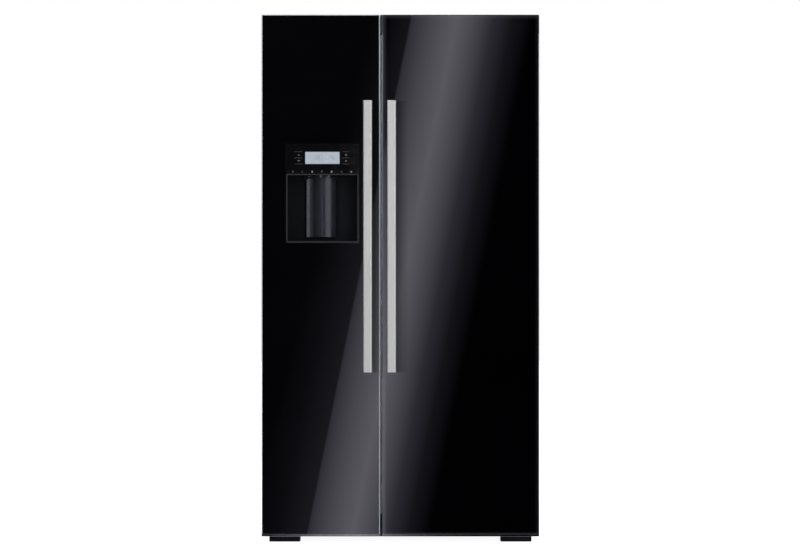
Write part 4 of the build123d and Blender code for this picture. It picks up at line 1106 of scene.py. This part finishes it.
def side_flags():
    """Dark flags beside the doors and in front of them, which give round edges their shade."""
    flags = (("left_flag", -2.4, 1.4, -2.6, 0.02), ("right_flag", 2.4, -2.0, -5.4, 0.2))
    low, high = -1.0, 3.6
    for name, x, near, far, strength in flags:
        near += door_front
        far += door_front
        corners = [(x, near, low), (x, far, low), (x, far, high), (x, near, high)]
        only_in_reflections(stage_plane(name, corners, plain_emission(name, strength)))


# The light panel that the doors mirror: its left edge is sharp and leans, its right side fades out.
# A faint glow lies to the left of the edge and narrows upwards.
# Each stop is a distance to the right of the edge and a strength.
PANEL_DISTANCE = 9.0
EDGE_TOP = (0.0347, 1.713)
EDGE_BOTTOM = (-0.3034, 0.035)
PANEL_STOPS = (
    (-0.003, 0.36),
    (0.003, 1.1),
    (0.070, 2.4),
    (0.148, 3.6),
    (0.200, 2.6),
    (0.269, 0.95),
    (0.330, 0.28),
    (0.400, 0.0),
)
GLOW_STOPS = (
    (-0.210, 0.0),
    (-0.100, 0.1),
    (-0.003, 0.36),
)
PANEL_GAIN = 1.25
BRIGHTEST = max(value for _, value in PANEL_STOPS)
FAINT_TINT = (0.79, 0.72, 1.0)
BRIGHT_TINT = (0.91, 0.885, 1.0)

# The films that dim the panel beside the handles.
# Each stop is a share of the width and the share of the light that passes there.
FILM_DISTANCE = PANEL_DISTANCE - 0.1
FILM_WIDTH = 0.041
FILM_OVERLAP = 0.001
FILM_STOPS = (
    (0.0, 0.34),
    (0.12, 0.46),
    (0.55, 0.77),
    (1.0, 1.0),
)


def mirrored_place(x, z, distance):
    """Where a straight mirror at the doors' front puts a point that shows at x and z on the doors."""
    grow = 1.0 + distance / CAMERA_DISTANCE
    place_x = CAMERA_X + (x - CAMERA_X) * grow
    place_z = CAMERA_HEIGHT + (z - CAMERA_HEIGHT) * grow
    return (place_x, door_front - distance, place_z)


def ramp_across(tree, stops):
    """A colour that changes along a plane's own width, returned with the plane's height coordinate."""
    place = tree.nodes.new("ShaderNodeUVMap")
    place.uv_map = "across"
    split = tree.nodes.new("ShaderNodeSeparateXYZ")
    ramp = tree.nodes.new("ShaderNodeValToRGB")
    elements = ramp.color_ramp.elements
    while len(elements) < len(stops):
        elements.new(0.5)
    for element, (position, colour) in zip(elements, stops):
        element.position = position
        element.color = (*colour, 1.0)
    tree.links.new(place.outputs["UV"], split.inputs["Vector"])
    tree.links.new(split.outputs["X"], ramp.inputs["Fac"])
    return ramp.outputs["Color"], split.outputs["Y"]


def panel_glow(name, panel_stops, top_share):
    """Light across a panel, bluer where it is faint, with its share at the top."""
    material = plain_emission(name, 1.0)
    tree = material.node_tree
    glow = tree.nodes["Emission"]
    upwards = tree.nodes.new("ShaderNodeMapRange")
    first = panel_stops[0][0]
    span = panel_stops[-1][0] - first
    peak = max(value for _, value in panel_stops)
    upwards.inputs["To Min"].default_value = peak * PANEL_GAIN
    upwards.inputs["To Max"].default_value = peak * PANEL_GAIN * top_share
    stops = []
    for offset, value in panel_stops:
        tint = Vector(FAINT_TINT).lerp(BRIGHT_TINT, value / BRIGHTEST)
        stops.append(((offset - first) / span, tint * value / peak))
    colour, height = ramp_across(tree, stops)
    tree.links.new(height, upwards.inputs["Value"])
    tree.links.new(colour, glow.inputs["Color"])
    tree.links.new(upwards.outputs["Result"], glow.inputs["Strength"])
    return material


def mirrored_plane(name, corners, material):
    """A plane of the studio that shows only in gloss, with its own width and height as coordinates."""
    plane = stage_plane(name, corners, material)
    across = plane.data.uv_layers.new(name="across")
    for corner, place in zip(across.data, ((0.0, 0.0), (1.0, 0.0), (1.0, 1.0), (0.0, 1.0))):
        corner.uv = place
    only_in_reflections(plane)


def light_panel(name, panel_stops, top_share, top_start):
    """Leaning panel of soft light in front of the dark screen."""
    lean = (EDGE_TOP[0] - EDGE_BOTTOM[0]) / (EDGE_TOP[1] - EDGE_BOTTOM[1])
    low, high = -0.2, 2.0
    corners = []
    start, end = panel_stops[0][0], panel_stops[-1][0]
    for z, offset in ((low, start), (low, end), (high, end), (high, top_start)):
        edge = EDGE_TOP[0] + (z - EDGE_TOP[1]) * lean
        corners.append(mirrored_place(edge + offset, z, PANEL_DISTANCE))
    mirrored_plane(name, corners, panel_glow(name, panel_stops, top_share))


def dimming_film():
    """Film that dims the light behind it, most of all at its left edge."""
    material, tree, shown = bare_material("dimming_film")
    film = tree.nodes.new("ShaderNodeBsdfTransparent")
    stops = [(place, (share, share, share)) for place, share in FILM_STOPS]
    colour, _ = ramp_across(tree, stops)
    tree.links.new(colour, film.inputs["Color"])
    tree.links.new(film.outputs["BSDF"], shown)
    return material


def handle_films():
    """Films in front of the light panel, which leave a soft dark band to the right of each handle."""
    material = dimming_film()
    for side in ("freezer", "fridge"):
        low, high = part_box(f"{side}_handle")
        start = high.x - FILM_OVERLAP
        end = start + FILM_WIDTH
        places = ((start, low.z), (end, low.z), (end, high.z), (start, high.z))
        corners = [mirrored_place(px, pz, FILM_DISTANCE) for px, pz in places]
        mirrored_plane(f"{side}_handle_film", corners, material)


def soft_lamp(name, place, target, size, power):
    """A large soft lamp turned towards a point."""
    lamp = bpy.data.lights.new(name, "AREA")
    lamp.shape = "RECTANGLE"
    lamp.size, lamp.size_y = size
    lamp.energy = power
    holder = bpy.data.objects.new(name, lamp)
    holder.location = place
    holder.rotation_euler = (Vector(target) - Vector(place)).to_track_quat("-Z", "Y").to_euler()
    bpy.context.scene.collection.objects.link(holder)


def studio():
    """Floor, surroundings and lamps."""
    reach = 30.0
    corners = [(-reach, -reach, 0), (reach, -reach, 0), (reach, reach, 0), (-reach, reach, 0)]
    floor = stage_plane("floor", corners, floor_material())
    floor.visible_glossy = False
    white_world()
    dark_screen()
    side_flags()
    light_panel("light_panel", PANEL_STOPS, 1.0, PANEL_STOPS[0][0])
    light_panel("glow_panel", GLOW_STOPS, 0.65, -0.12)
    handle_films()
    middle = (0.0, 0.0, 0.9)
    soft_lamp("key_lamp", (-3.2, -4.47, 1.7), middle, (0.7, 2.8), 32.0)
    soft_lamp("fill_lamp", (1.36, -5.5, 1.7), middle, (1.4, 2.8), 41.0)
    soft_lamp("top_lamp", (0.0, -1.2, 4.2), middle, (2.4, 2.4), 50.0)
    soft_lamp("rear_lamp", (0.6, 4.0, 3.2), middle, (2.4, 2.4), 90.0)


def photo_camera():
    """Camera straight in front, with the photograph's framing at the plane of the doors."""
    data = bpy.data.cameras.new("photo_camera")
    data.sensor_width = SENSOR_WIDTH
    data.lens = SENSOR_WIDTH * CAMERA_DISTANCE / VIEW_WIDTH
    camera = bpy.data.objects.new("photo_camera", data)
    camera.location = (CAMERA_X, door_front - CAMERA_DISTANCE, CAMERA_HEIGHT)
    camera.rotation_euler = (math.radians(90), 0, 0)
    bpy.context.scene.collection.objects.link(camera)
    bpy.context.scene.camera = camera


studio()
photo_camera()
bpy.context.scene.view_settings.view_transform = "Standard"
